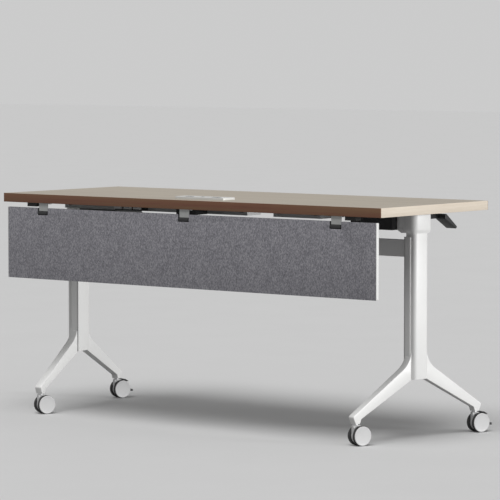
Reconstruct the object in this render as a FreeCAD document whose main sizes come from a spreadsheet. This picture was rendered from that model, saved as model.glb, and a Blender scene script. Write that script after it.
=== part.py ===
import FreeCAD, Part
import os
import re
from FreeCAD import Placement, Rotation, Vector
import Sketcher

# Flip-top training table on splayed Y legs with castors and a hanging modesty panel.
# +X runs along the table, +Y points to the user's side, +Z is up. The origin is on the floor, midway
# between the two leg columns. Right-hand pieces are built and mirrored to the left. All sizes in mm.

SIZES = {
    # Worktop
    "top_length": 1600,
    "top_depth": 600,
    "top_height": 760,
    "top_thickness": 30,
    "top_forward": 3,
    "laminate_thick": 0.8,
    "backer_thick": 0.6,
    "band_thick": 2,
    "band_corner": 1.5,
    # Power module let into the worktop
    "module_length": 208,
    "module_depth": 62,
    "module_shift": 7,
    "module_rise": 7.5,
    "module_setback": 75,
    "module_rim": 13,
    "module_lip": 7,
    "module_gap": 0.1,
    "module_corner": 4,
    "socket_drop": 1.2,
    "socket_size": 30,
    "socket_recess": 1.6,
    "socket_pitch": 44,
    "socket_shift": 8,
    "usb_length": 12,
    "usb_height": 3.2,
    "usb_recess": 6.4,
    "usb_pitch": 16,
    "usb_shift": 83,
    "wiring_box_length": 84,
    "wiring_box_grip": 5,
    "wiring_box_shift": 49,
    # Trays and infeed under the worktop
    "tray_drop": 22,
    "tray_wall": 1.6,
    "tray_depth": 72,
    "tray_setback": 150,
    "tray_lip": 9,
    "tray_short_length": 191,
    "tray_space": 111.5,
    "tray_end_inset": 150,
    "tray_housing_gap": 39.2,
    "tray_gap": 9,
    "tray_slot": 12,
    "tray_slot_inset": 22,
    "bracket_length": 11,
    "bracket_gap": 0.3,
    "infeed_length": 118,
    "infeed_depth": 32,
    "infeed_drop": 20,
    "infeed_centre": -333.5,
    "infeed_setback": 115,
    "connector_length": 30,
    "connector_reach": 8,
    "connector_height": 15,
    "connector_pitch": 42,
    # Bumpers under the front corners
    "bumper_length": 42,
    "bumper_depth": 28,
    "bumper_drop": 13,
    "bumper_inset": 48,
    # Tilt mechanism
    "pivot_back": 42,
    "pivot_drop": 12,
    "pivot_radius": 6,
    "pivot_length": 70,
    "ear_radius": 11.5,
    "running_gap": 0.05,
    "seat_gap": 0.3,
    "housing_length": 166,
    "housing_gap": 1,
    "housing_rear": 80,
    "housing_drop": 55,
    "housing_wall": 2.5,
    "housing_bevel": 20,
    "housing_flange": 14,
    "bearing_thick": 5,
    "lever_slot": 8,
    "lock_radius": 30,
    "lock_plate": 4,
    "lock_inset": 8,
    "lock_trim": 8,
    "pad_gap": 0.4,
    # Release levers
    "lever_pin_back": 24,
    "lever_pin_drop": 32,
    "lever_pin_radius": 3,
    "lever_pin_tail": 8,
    "lever_boss_radius": 8,
    "lever_pad_reach": 8,
    "lever_pad_height": 7,
    "lever_bar_top": 16,
    "lever_bar_height": 10,
    "lever_bar_end": 196,
    "lever_grip_start": 118,
    "lever_grip_width": 15,
    "lever_grip_cover": 3,
    "paddle_width": 40,
    "paddle_shift": 18.5,
    "paddle_root": 200,
    "paddle_tip": 268,
    "paddle_tip_drop": 64,
    "paddle_thick": 8,
    # Modesty panel and its hinges
    "panel_end_inset": 17,
    "panel_height": 243,
    "panel_gap": 17,
    "panel_setback": 2,
    "board_thick": 8,
    "felt_thick": 2,
    "trim_thick": 3,
    "hinge_inset": 161,
    "hinge_drop": 34,
    "strap_width": 40,
    "strap_thick": 2,
    "strap_foot": 34,
    "strap_screw_back": 22.5,
    "strap_screw_out": 10,
    "barrel_radius": 7,
    "hinge_pin_radius": 2.5,
    "hinge_pin_grip": 10,
    "notch_side_gap": 3,
    "notch_below": 0.4,
    # Screws into the underside
    "screw_head_radius": 4.5,
    "screw_head_height": 2.4,
    "screw_radius": 2,
    "screw_length": 16,
    "housing_screws": 3,
    # Y legs
    "leg_inset": 76,
    "leg_splay": 11.3,
    "frame_thick": 28,
    "tip_thick": 24,
    "stem_half": 34,
    "knee_rise": 181,
    "knee_radius": 78,
    "foot_gap": 2.6,
    "foot_toe": 20.5,
    "foot_tip_rise": 24,
    "foot_step_rise": 15,
    "foot_step_in": 14.5,
    "foot_neck_half": 9,
    "foot_round": 6,
    "crotch_rise": 126,
    "crotch_half": 29,
    "crotch_round": 10,
    "castor_span": 264.5,
    # Covers on the column
    "profile_thick": 14,
    "profile_front": 34,
    "profile_rear": 28,
    "profile_round": 13,
    "cover_thick": 6,
    "cover_front": 38,
    "cover_rear": 36,
    "cover_round": 3,
    "cover_drop": 12,
    # Column heads
    "head_drop": 64,
    "head_half": 41,
    "head_outer": 33.5,
    "head_inner": 12,
    "head_round": 20,
    "head_taper": 13,
    "neck_half": 37,
    "neck_outer": 29,
    "block_reach": 54,
    "block_half": 35,
    "block_drop": 54,
    "gusset_inset": 23,
    "gusset_slope": 16,
    # Stretcher trough between the columns
    "beam_drop": 88,
    "beam_height": 54,
    "beam_half": 14,
    "beam_wall": 2.5,
    "end_plate": 4,
    "end_plate_half": 28,
    "end_plate_gap": 0.3,
    "beam_screw_out": 21,
    "beam_screw_inset": 12,
    "beam_screw_length": 22,
    # Castors
    "castor_turn": 21,
    "castor_trail": 15,
    "wheel_radius": 32,
    "wheel_width": 14.5,
    "wheel_inner": 7.5,
    "wheel_edge": 3,
    "disc_radius": 31.2,
    "disc_thick": 2.5,
    "disc_edge": 1.2,
    "disc_bevel": 2.4,
    "axle_radius": 3,
    "hood_half": 6.5,
    "hood_radius": 27,
    "cap_radius": 11,
    "cap_height": 2.6,
    "cap_gap": 0.8,
    "stem_radius": 5,
    "stem_in_leg": 34,
    "stem_in_hood": 26,
    "collar_radius": 9,
    "collar_gap": 0.3,
    # Brake pedals on the rear castors
    "pedal_half": 17,
    "pedal_web_half": 3,
    "pedal_slot_gap": 0.4,
    "pedal_barrel": 4,
    "pedal_pin_radius": 2,
    "pedal_pivot_back": 10,
    "pedal_pivot_rise": 18,
    "pedal_plate_front": 5,
    "pedal_plate_rear": 24.5,
    "pedal_plate_bend": 13,
    "pedal_plate_rise": 33,
    "pedal_plate_drop": 6.5,
    "pedal_plate_thick": 2.6,
    "pedal_web_inner": 30,
    "pedal_low_angle": 15,
    "pedal_high_angle": 35,
    "pedal_tab_near": 36.5,
    "pedal_tab_far": 43,
    "pedal_tab_height": 7,
    "pedal_tab_drop": 6,
    # One overrun for every cut
    "overrun": 5,
}

DOC = FreeCAD.newDocument("training_table")
SHEET = DOC.addObject("Spreadsheet::Sheet", "sizes")
for row, (alias, number) in enumerate(SIZES.items(), 1):
    SHEET.set(f"A{row}", alias)
    SHEET.set(f"B{row}", str(number))
    SHEET.setAlias(f"B{row}", alias)
DOC.recompute()

# Places used by several pieces, each worked out from the sheet's sizes
PLACES = {
    "UNDERSIDE": "(top_height - top_thickness)",
    "FRONT_EDGE": "(-top_forward - top_depth / 2)",
    "REAR_EDGE": "(top_depth / 2 - top_forward)",
    "PIVOT_Z": "(UNDERSIDE - pivot_drop)",
    "MODULE_Y": "(FRONT_EDGE + module_setback + module_depth / 2)",
    "MODULE_LEFT": "(module_shift - module_length / 2)",
    "MODULE_HOLE": "(module_depth - 2 * module_rim + 2 * module_lip)",
    "WIRING_DEPTH": "(MODULE_HOLE + 2 * wiring_box_grip)",
    "LEG_X": "(top_length / 2 - leg_inset)",
    "STEM_TOP": "(UNDERSIDE - head_drop)",
    "COVER_TOP": "(STEM_TOP - cover_drop)",
    "BEAM_TOP": "(UNDERSIDE - beam_drop)",
    "CORE_BOTTOM": "(UNDERSIDE + backer_thick)",
    "CORE_TOP": "(top_height - laminate_thick)",
    "PANEL_LENGTH": "(top_length - 2 * panel_end_inset)",
    "PANEL_TOP": "(UNDERSIDE - panel_gap)",
    "PANEL_THICK": "(board_thick + 2 * felt_thick)",
    "PANEL_FRONT": "(FRONT_EDGE + panel_setback)",
    "HINGE_PITCH": "(PANEL_LENGTH / 2 - hinge_inset)",
    "HINGE_Y": "(PANEL_FRONT + PANEL_THICK / 2)",
    "HINGE_Z": "(UNDERSIDE - hinge_drop)",
    "NOTCH_HALF": "(strap_width / 2 + notch_side_gap)",
    "BLOCK_INNER": "(LEG_X - block_reach)",
    "BLOCK_OUTER": "(LEG_X - head_inner)",
    "GUSSET_OUTER": "(LEG_X - gusset_inset)",
    "BUMPER_X": "(LEG_X - bumper_inset)",
    "HOUSING_OUTER": "(BLOCK_INNER - housing_gap)",
    "HOUSING_FLOOR": "(UNDERSIDE - housing_drop)",
    "HOUSING_INNER": "(HOUSING_OUTER - housing_length)",
    "TRAY_SHORT_RIGHT": "(HOUSING_INNER - tray_housing_gap - bracket_length - bracket_gap)",
    "TRAY_SHORT_CENTRE": "(TRAY_SHORT_RIGHT - tray_short_length / 2)",
    "TRAY_LONG_LEFT": "(tray_end_inset - top_length / 2)",
    "TRAY_LONG_RIGHT": "(TRAY_SHORT_CENTRE - tray_short_length / 2 - tray_space)",
    "TRAY_LONG_LENGTH": "(TRAY_LONG_RIGHT - TRAY_LONG_LEFT)",
    "TRAY_LONG_CENTRE": "((TRAY_LONG_RIGHT + TRAY_LONG_LEFT) / 2)",
    "TRAY_FRONT": "(FRONT_EDGE + tray_setback)",
    "HOUSING_FRONT": "(TRAY_FRONT + tray_depth + tray_gap + housing_flange)",
    "LOCK_X": "(HOUSING_OUTER - lock_inset - lock_plate)",
    "LEVER_PIN_Y": "(pivot_back + lever_pin_back)",
    "LEVER_PIN_Z": "(PIVOT_Z - lever_pin_drop)",
    "HEAD_TOP": "(UNDERSIDE - seat_gap)",
    "CASTOR_X": "(castor_span * sin(leg_splay))",
    "CASTOR_Y": "(castor_span * cos(leg_splay))",
    "AXLE_Z": "wheel_radius",
    "CAP_BOTTOM": "(2 * wheel_radius + cap_gap)",
    "CAP_TOP": "(2 * wheel_radius + cap_gap + cap_height)",
    "PEDAL_Y": "(castor_trail + pedal_pivot_back)",
    "PEDAL_Z": "(wheel_radius + pedal_pivot_rise)",
    "FOOT_BASE": "(CAP_TOP + foot_gap)",
    "FOOT_TIP": "(FOOT_BASE + foot_tip_rise)",
    "FOOT_STEP": "(FOOT_BASE + foot_step_rise)",
    "CROTCH_HEIGHT": "(FOOT_BASE + crotch_rise)",
    "KNEE_HEIGHT": "(FOOT_BASE + knee_rise)",
    "FOOT_REACH": "(castor_span + foot_toe)",
    "FOOT_HEEL": "(castor_span + foot_neck_half)",
    "FOOT_INNER": "(castor_span - foot_neck_half)",
    "PLATE_INNER": "(-frame_thick / 2 - cover_thick - end_plate_gap - end_plate)",
    "BEAM_BASE": "(BEAM_TOP - beam_height)",
    "BEAM_SHIFT": "((-frame_thick / 2 - cover_thick - end_plate_gap - end_plate) * tan(leg_splay))",
}
AXIS_TURNS = {"X": Rotation(Vector(0, 1, 0), 90), "Y": Rotation(Vector(1, 0, 0), -90), "Z": Rotation()}
NODES = {}


def bound(text):
    """An expression in which every place is spelled out and every size points at the sheet."""
    text = str(text)
    while re.search(r"\b[A-Z][A-Z_]+\b", text):
        text = re.sub(r"\b[A-Z][A-Z_]+\b", lambda found: PLACES[found.group(0)], text)
    return re.sub(r"\b[a-z][a-z_]+\b",
                  lambda found: "sizes." * (found.group(0) in SIZES) + found.group(0), text)


def value(text):
    """The number that an expression gives with the sheet's sizes."""
    return float(SHEET.evalExpression(bound(text)))


def bind(item, **links):
    """Ties properties of a feature to expressions; x, y and z stand for its place."""
    for name, text in links.items():
        target = f"Placement.Base.{name}" if name in ("x", "y", "z") else name
        item.setExpression(target, bound(text))
    return item


def add(kind, label):
    """A new feature with its own name and label."""
    item = DOC.addObject(kind, label)
    item.Label = label
    return item


def box(label, low, size):
    """A block with its lowest corner at low."""
    item = add("Part::Box", label)
    return bind(item, x=low[0], y=low[1], z=low[2], Length=size[0], Width=size[1], Height=size[2])


def rod(label, axis, start, radius, length):
    """A cylinder that starts at a point and runs along +X, +Y or +Z."""
    item = add("Part::Cylinder", label)
    item.Placement = Placement(Vector(), AXIS_TURNS[axis])
    return bind(item, x=start[0], y=start[1], z=start[2], Radius=radius, Height=length)


def fuse(label, *items):
    """One solid from pieces that overlap."""
    item = add("Part::MultiFuse", label)
    item.Shapes = list(items)
    item.Refine = True
    return item


def cut(label, base, *tools):
    """The base with every tool taken away."""
    item = add("Part::Cut", label)
    item.Base = base
    item.Tool = tools[0] if len(tools) == 1 else fuse(label + "_tools", *tools)
    item.Refine = True
    return item


def group(label, *items):
    """Separate solids that share one name."""
    item = add("Part::Compound", label)
    item.Links = list(items)
    return item


def mirrored(label, source):
    """The same piece on the other side of the table's middle plane."""
    item = add("Part::Mirroring", label)
    item.Source = source
    item.Normal = Vector(1, 0, 0)
    return item


def on_leg(item):
    """Turns a piece from the leg's own frame, outward, rearward and up, to the right-hand leg."""
    item.Placement = Placement(Vector(), Rotation(Vector(0, 0, -1), 1))
    bind(item, x="LEG_X")
    item.setExpression("Placement.Rotation.Angle", bound("leg_splay"))
    return item


def sketched(label, plane, points):
    """A PartDesign body with a sketch: a closed outline, each corner held by its own two dimensions."""
    body = add("PartDesign::Body", label)
    sketch = body.newObject("Sketcher::SketchObject", label + "_outline")
    support = [one for one in body.Origin.OriginFeatures if one.Role == plane][0]
    sketch.AttachmentSupport = (support, [""])
    sketch.MapMode = "FlatFace"
    corners = [Vector(value(across), value(along), 0) for across, along in points]
    for number, corner in enumerate(corners):
        sketch.addGeometry(Part.LineSegment(corner, corners[(number + 1) % len(corners)]))
    for number in range(len(corners)):
        sketch.addConstraint(Sketcher.Constraint("Coincident", number, 2, (number + 1) % len(corners), 1))
    for number, (corner, texts) in enumerate(zip(corners, points)):
        for kind, on_axis, number_there, text in (("DistanceX", -2, corner.x, texts[0]),
                                                  ("DistanceY", -1, corner.y, texts[1])):
            if text == "0":
                sketch.addConstraint(Sketcher.Constraint("PointOnObject", number, 1, on_axis))
                continue
            index = sketch.addConstraint(Sketcher.Constraint(kind, -1, 1, number, 1, number_there))
            sketch.setExpression(f"Constraints[{index}]", bound(text))
    return body, sketch


def drawn(label, plane, points, length, midplane=True, low="0"):
    """A padded outline."""
    body, sketch = sketched(label, plane, points)
    pad = body.newObject("PartDesign::Pad", label + "_pad")
    pad.Profile = sketch
    pad.Midplane = midplane
    bind(pad, Length=length)
    if low != "0":
        bind(body, z=low)
    DOC.recompute()
    return body


def turned(label, points):
    """An outline of places across and out, carried once round the piece's own +X axis."""
    body, sketch = sketched(label, "XZ_Plane", points)
    turn = body.newObject("PartDesign::Revolution", label + "_turn")
    turn.Profile = sketch
    turn.ReferenceAxis = (sketch, ["H_Axis"])
    turn.Angle = 360
    DOC.recompute()
    return body


def rounded(body, radius, corners):
    """Fillets the pad's long edges that pass through the given places of its own outline plane."""
    base = body.Tip
    shape = base.Shape
    names = []
    for number, edge in enumerate(shape.Edges, 1):
        middle = edge.CenterOfMass
        for place in corners:
            flat = [(middle[k] - value(place[k])) ** 2 for k in range(3) if place[k] is not None]
            if sum(flat) < value("running_gap") ** 2:
                names.append(f"Edge{number}")
    if not names:
        raise RuntimeError(f"{body.Label}: no edge to round")
    fillet = body.newObject("PartDesign::Fillet", body.Label + "_round" + str(len(body.Group)))
    fillet.Base = (base, names)
    bind(fillet, Radius=radius)
    body.Tip = fillet
    DOC.recompute()
    return body


def keep(name, item):
    """Marks a feature as one of the pieces of the table."""
    item.Label = name
    NODES[name] = item
    return item


def screw_places():
    """Where the screws go up into the worktop: a label, the place across and along, and the plate's face."""
    places = []
    for number in range(SIZES["housing_screws"]):
        across = (f"(HOUSING_INNER + housing_flange"
                  f" + {number} * (LOCK_X - HOUSING_INNER - 2 * housing_flange) / (housing_screws - 1))")
        for end, along in (("front", "(HOUSING_FRONT - housing_flange / 2)"),
                           ("rear", "(housing_rear + housing_flange / 2)")):
            for side, sign in (("right", ""), ("left", "-")):
                places.append((f"housing_{side}_{end}{number}", sign + across, along, "housing_wall"))
    for number in (-1, 0, 1):
        for side in (-1, 1):
            places.append((f"strap{number + 1}{side + 1}",
                           f"({number} * HINGE_PITCH + {side} * strap_screw_out)",
                           "(HINGE_Y + strap_screw_back)", "strap_thick"))
    return places


def screw_holes(owner, only=""):
    """Holes that the screws fill, in the pieces that they pass through."""
    return [rod(f"{owner}_{label}_hole", "Z",
                (across, along, f"UNDERSIDE - {thick} - screw_head_height / 2"), "screw_radius",
                "screw_length")
            for label, across, along, thick in screw_places() if label.startswith(only)]


def module_outline(label, gap, height, low):
    """The power module's rounded outline, wider by a gap all round, padded up from low."""
    corners = [(f"{side}(module_length / 2 + {gap})", f"{end}(module_depth / 2 + {gap})")
               for side, end in (("-", "-"), ("", "-"), ("", ""), ("-", ""))]
    blank = drawn(label, "XY_Plane", corners, height, False, low)
    rounded(blank, f"module_corner + {gap}", [(*corner, None) for corner in corners])
    return bind(blank, x="module_shift", y="MODULE_Y")


def worktop():
    """Core board with a laminate face, a backing sheet and four edge bands, cut for the power module."""
    inner = ("-top_length / 2 + band_thick", "FRONT_EDGE + band_thick")
    spans = ("top_length - 2 * band_thick", "top_depth - 2 * band_thick")
    for name, low, thick in (("worktop_core", "CORE_BOTTOM", "top_thickness - backer_thick - laminate_thick"),
                             ("top_laminate", "CORE_TOP", "laminate_thick"),
                             ("underside_sheet", "UNDERSIDE", "backer_thick")):
        board = box(name + "_blank", (*inner, low), (*spans, thick))
        if name == "top_laminate":
            tools = [module_outline(name + "_hole", "module_gap", "2 * overrun", low + " - overrun")]
        else:
            tools = screw_holes(name)
            tools.append(box(name + "_hole", ("MODULE_LEFT + module_rim - module_lip",
                                              "MODULE_Y - MODULE_HOLE / 2",
                                              low + " - overrun"),
                             ("module_length - 2 * module_rim + 2 * module_lip",
                              "MODULE_HOLE", thick + " + 2 * overrun")))
        keep(name, cut(name, board, *tools))
    front = box("band_front", ("-top_length / 2", "FRONT_EDGE", "UNDERSIDE"),
                ("top_length", "band_thick", "top_thickness"))
    rear = box("band_rear", ("-top_length / 2", "REAR_EDGE - band_thick", "UNDERSIDE"),
               ("top_length", "band_thick", "top_thickness"))
    DOC.recompute()
    bands = []
    for band, outer in ((front, "FRONT_EDGE"), (rear, "REAR_EDGE")):
        fillet = add("Part::Fillet", band.Label + "_eased")
        fillet.Base = band
        radius = value("band_corner")
        fillet.Edges = [(number, radius, radius) for number, edge in enumerate(band.Shape.Edges, 1)
                        if abs(edge.CenterOfMass.y - value(outer)) < radius / 2
                        and abs(edge.Length - value("top_thickness")) < radius / 2]
        bands.append(fillet)
    keep("edge_bands_long", group("edge_bands_long", *bands))
    right = box("band_right", ("top_length / 2 - band_thick", "FRONT_EDGE + band_thick", "UNDERSIDE"),
                ("band_thick", spans[1], "top_thickness"))
    keep("edge_bands_short", group("edge_bands_short", right, mirrored("band_left", right)))


def power_module():
    """Aluminium bezel let into the laminate, the socket strip that it frames, and the wiring box below."""
    blank = module_outline("bezel_blank", "0", "laminate_thick + module_rise", "CORE_TOP")
    window = box("bezel_window", ("MODULE_LEFT + module_rim",
                                  "MODULE_Y + module_rim - module_depth / 2", "CORE_TOP - overrun"),
                 ("module_length - 2 * module_rim", "module_depth - 2 * module_rim",
                  "module_rise + 2 * overrun"))
    keep("power_bezel", cut("power_bezel", blank, window))
    strip = box("socket_strip", ("MODULE_LEFT + module_rim + seat_gap",
                                 "MODULE_Y + module_rim - module_depth / 2 + seat_gap", "UNDERSIDE"),
                ("module_length - 2 * module_rim - 2 * seat_gap",
                 "module_depth - 2 * module_rim - 2 * seat_gap", "top_thickness + module_rise - socket_drop"))
    face = "(top_height + module_rise - socket_drop)"
    tools = []
    for number in (-1, 1):
        middle = f"({number} * socket_pitch / 2 - socket_shift)"
        tools.append(box(f"socket_recess{number + 2}",
                         (f"{middle} - socket_size / 2", "MODULE_Y - socket_size / 2",
                          f"{face} - socket_recess"),
                         ("socket_size", "socket_size", "socket_recess + overrun")))
        tools.append(box(f"usb_recess{number + 2}",
                         ("usb_shift - usb_length / 2",
                          f"MODULE_Y + {number} * usb_pitch / 2 - usb_height / 2", f"{face} - usb_recess"),
                         ("usb_length", "usb_height", "usb_recess + overrun")))
    keep("power_sockets", cut("power_sockets", strip, *tools))
    keep("power_wiring_box", box("power_wiring_box",
                                 ("-wiring_box_shift - wiring_box_length / 2",
                                  "MODULE_Y - WIRING_DEPTH / 2", "UNDERSIDE - tray_drop"),
                                 ("wiring_box_length", "WIRING_DEPTH", "tray_drop")))


def tray(name, centre, length):
    """An open folded tray: front wall up to the worktop, floor and a low rear lip, slotted near its ends."""
    left = f"({centre} - {length} / 2)"
    base = "(UNDERSIDE - tray_drop)"
    wall = box(name + "_wall", (left, "TRAY_FRONT", base), (length, "tray_wall", "tray_drop"))
    floor = box(name + "_floor", (left, "TRAY_FRONT", base), (length, "tray_depth", "tray_wall"))
    lip = box(name + "_lip", (left, "TRAY_FRONT + tray_depth - tray_wall", base),
              (length, "tray_wall", "tray_lip"))
    slots = [box(name + f"_slot{number}",
                 (f"{centre} + {side} * ({length} / 2 - tray_slot_inset) - tray_slot / 2",
                  "TRAY_FRONT - overrun", f"{base} + tray_lip"),
                 ("tray_slot", "tray_wall + 2 * overrun", "tray_lip"))
             for number, side in enumerate((-1, 1))]
    keep(name, cut(name, fuse(name + "_folded", wall, floor, lip), *slots))
    brackets = []
    for number, side in enumerate((-1, 1)):
        start = f"({centre} + {side} * ({length} / 2 + bracket_gap))"
        low = start if side > 0 else f"({start} - tray_wall)"
        reach = start if side > 0 else f"({start} - bracket_length)"
        plate = box(name + f"_end{number}", (low, "TRAY_FRONT", base),
                    ("tray_wall", "tray_depth", "tray_drop"))
        foot = box(name + f"_foot{number}", (reach, "TRAY_FRONT", "UNDERSIDE - tray_wall"),
                   ("bracket_length", "tray_depth", "tray_wall"))
        brackets.append(fuse(name + f"_bracket{number}", plate, foot))
    return brackets


def under_top():
    """Cable trays with end brackets, the mains infeed block and the bumpers under the front corners."""
    brackets = tray("cable_tray_long", "TRAY_LONG_CENTRE", "TRAY_LONG_LENGTH")
    brackets += tray("cable_tray_short", "TRAY_SHORT_CENTRE", "tray_short_length")
    keep("tray_brackets", group("tray_brackets", *brackets))
    front = "(FRONT_EDGE + infeed_setback)"
    keep("infeed_block", box("infeed_block", ("infeed_centre - infeed_length / 2", front,
                                              "UNDERSIDE - infeed_drop"),
                             ("infeed_length", "infeed_depth", "infeed_drop")))
    plugs = [box(f"infeed_plug{number}",
                 (f"infeed_centre + {number} * connector_pitch - connector_length / 2",
                  f"{front} - connector_reach", "UNDERSIDE - connector_height - seat_gap"),
                 ("connector_length", "connector_reach", "connector_height"))
             for number in (-1, 0, 1)]
    keep("infeed_connectors", group("infeed_connectors", *plugs))
    bumper = box("bumper_right", ("BUMPER_X - bumper_length / 2", "HINGE_Y", "UNDERSIDE - bumper_drop"),
                 ("bumper_length", "bumper_depth", "bumper_drop"))
    keep("nesting_bumpers", group("nesting_bumpers", bumper, mirrored("bumper_left", bumper)))


def tilt_housing():
    """Folded steel channel under the worktop, open above, that swings on the pivot pin."""
    outside = drawn("housing_outside", "XZ_Plane",
                    [("HOUSING_INNER", "UNDERSIDE"), ("HOUSING_INNER", "HOUSING_FLOOR + housing_bevel"),
                     ("HOUSING_INNER + housing_bevel", "HOUSING_FLOOR"), ("HOUSING_OUTER", "HOUSING_FLOOR"),
                     ("HOUSING_OUTER", "UNDERSIDE")], "housing_rear - HOUSING_FRONT")
    bind(outside, y="(housing_rear + HOUSING_FRONT) / 2")
    inside = drawn("housing_inside", "XZ_Plane",
                   [("HOUSING_INNER + housing_wall", "UNDERSIDE + overrun"),
                    ("HOUSING_INNER + housing_wall", "HOUSING_FLOOR + housing_bevel + housing_wall / 2"),
                    ("HOUSING_INNER + housing_bevel + housing_wall / 2", "HOUSING_FLOOR + housing_wall"),
                    ("HOUSING_OUTER - housing_wall", "HOUSING_FLOOR + housing_wall"),
                    ("HOUSING_OUTER - housing_wall", "UNDERSIDE + overrun")],
                   "housing_rear - HOUSING_FRONT - 2 * housing_wall")
    bind(inside, y="(housing_rear + HOUSING_FRONT) / 2")
    slot = box("housing_lever_slot",
               ("LOCK_X + lock_plate / 2 - lever_slot / 2", "housing_rear - housing_wall - overrun",
                "HOUSING_FLOOR + housing_wall"),
               ("lever_slot", "housing_wall + 2 * overrun", "housing_drop"))
    flanges = [box("housing_flange_front", ("HOUSING_INNER", "HOUSING_FRONT - housing_flange",
                                            "UNDERSIDE - housing_wall"),
                   ("housing_length", "housing_flange + housing_wall / 2", "housing_wall")),
               box("housing_flange_rear", ("HOUSING_INNER", "housing_rear - housing_wall / 2",
                                           "UNDERSIDE - housing_wall"),
                   ("LOCK_X - HOUSING_INNER - lock_plate", "housing_flange + housing_wall / 2",
                    "housing_wall"))]
    bearing = rod("housing_bearing", "X", ("HOUSING_OUTER - pivot_length / 2 + housing_wall", "pivot_back",
                                           "PIVOT_Z"), "ear_radius", "bearing_thick")
    stand = box("housing_stand", ("HOUSING_OUTER - pivot_length / 2 + housing_wall",
                                  "pivot_back - ear_radius / 2", "HOUSING_FLOOR + housing_wall / 2"),
                ("bearing_thick", "ear_radius", "housing_drop - pivot_drop - housing_wall / 2"))
    hole = rod("housing_pin_hole", "X", ("HOUSING_INNER + housing_bevel", "pivot_back", "PIVOT_Z"),
               "pivot_radius + running_gap", "housing_length")
    shell = fuse("housing_shell", cut("housing_hollow", outside, inside), *flanges, bearing, stand)
    right = keep("tilt_housing_right", cut("tilt_housing_right", shell, slot, hole,
                                           *screw_holes("tilt_housing", "housing_right")))
    keep("tilt_housing_left", mirrored("tilt_housing_left", right))


def underside_screws():
    """Pan-head screws up through the housing flanges and the hinge straps into the worktop."""
    screws = []
    for label, across, along, thick in screw_places():
        head = rod(f"{label}_screw_head", "Z", (across, along, f"UNDERSIDE - {thick} - screw_head_height"),
                   "screw_head_radius", "screw_head_height")
        shank = rod(f"{label}_screw_shank", "Z",
                    (across, along, f"UNDERSIDE - {thick} - screw_head_height / 2"),
                    "screw_radius", "screw_length")
        screws.append(fuse(f"{label}_screw", head, shank))
    keep("underside_screws", group("underside_screws", *screws))


def release_lever():
    """Lever plate with its locking pad inside the housing and a bent paddle behind the column head."""
    pin = rod("lever_pin_right", "X", ("LOCK_X - lever_pin_tail", "LEVER_PIN_Y", "LEVER_PIN_Z"),
              "lever_pin_radius", "HOUSING_OUTER - housing_wall - LOCK_X + lever_pin_tail")
    keep("lever_pins", group("lever_pins", pin, mirrored("lever_pin_left", pin)))
    boss = rod("lever_boss", "X", ("LOCK_X", "LEVER_PIN_Y", "LEVER_PIN_Z"), "lever_boss_radius", "lock_plate")
    pad_top = "(PIVOT_Z - lock_radius - pad_gap)"
    nose = box("lever_nose", ("LOCK_X", "pivot_back - lever_pad_reach", f"{pad_top} - lever_pad_height"),
               ("lock_plate", "lever_pin_back + lever_pad_reach", "lever_pad_height"))
    bar = drawn("lever_bar", "YZ_Plane",
                [("LEVER_PIN_Y", "LEVER_PIN_Z - lever_boss_radius / 2"),
                 ("housing_rear + lever_boss_radius", "UNDERSIDE - lever_bar_top - lever_bar_height"),
                 ("lever_bar_end", "UNDERSIDE - lever_bar_top - lever_bar_height"),
                 ("lever_bar_end", "UNDERSIDE - lever_bar_top"),
                 ("housing_rear", "UNDERSIDE - lever_bar_top"),
                 ("LEVER_PIN_Y", "LEVER_PIN_Z + lever_boss_radius / 2")], "lock_plate")
    bind(bar, x="LOCK_X + lock_plate / 2")
    hole = rod("lever_pin_hole", "X", ("LOCK_X - overrun", "LEVER_PIN_Y", "LEVER_PIN_Z"),
               "lever_pin_radius + running_gap", "lock_plate + 2 * overrun")
    right = keep("lever_arm_right", cut("lever_arm_right", fuse("lever_plate", boss, nose, bar), hole))
    keep("lever_arm_left", mirrored("lever_arm_left", right))

    middle = "(LOCK_X + lock_plate / 2)"
    grip_top = "(UNDERSIDE - lever_bar_top + lever_grip_cover)"
    grip_height = "(lever_bar_height + 2 * lever_grip_cover)"
    grip = box("lever_grip", (f"{middle} - lever_grip_width / 2", "lever_grip_start",
                              f"{grip_top} - {grip_height}"),
               ("lever_grip_width", "paddle_root - lever_grip_start", grip_height))
    plate = drawn("paddle_plate", "YZ_Plane",
                  [("paddle_root", f"{grip_top} - {grip_height}"), ("paddle_root", grip_top),
                   ("paddle_root + paddle_thick", grip_top),
                   ("paddle_tip", "UNDERSIDE - paddle_tip_drop + paddle_thick"),
                   ("paddle_tip", "UNDERSIDE - paddle_tip_drop + paddle_thick / 2"),
                   ("paddle_tip - paddle_thick / 2", "UNDERSIDE - paddle_tip_drop")], "paddle_width")
    bind(plate, x=f"{middle} + paddle_shift")
    bar_slot = box("grip_bar_slot", ("LOCK_X", "lever_grip_start - overrun",
                                     "UNDERSIDE - lever_bar_top - lever_bar_height"),
                   ("lock_plate", "lever_bar_end - lever_grip_start + overrun", "lever_bar_height"))
    right = keep("lever_paddle_right", cut("lever_paddle_right", fuse("paddle_and_grip", grip, plate),
                                           bar_slot))
    keep("lever_paddle_left", mirrored("lever_paddle_left", right))


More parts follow.
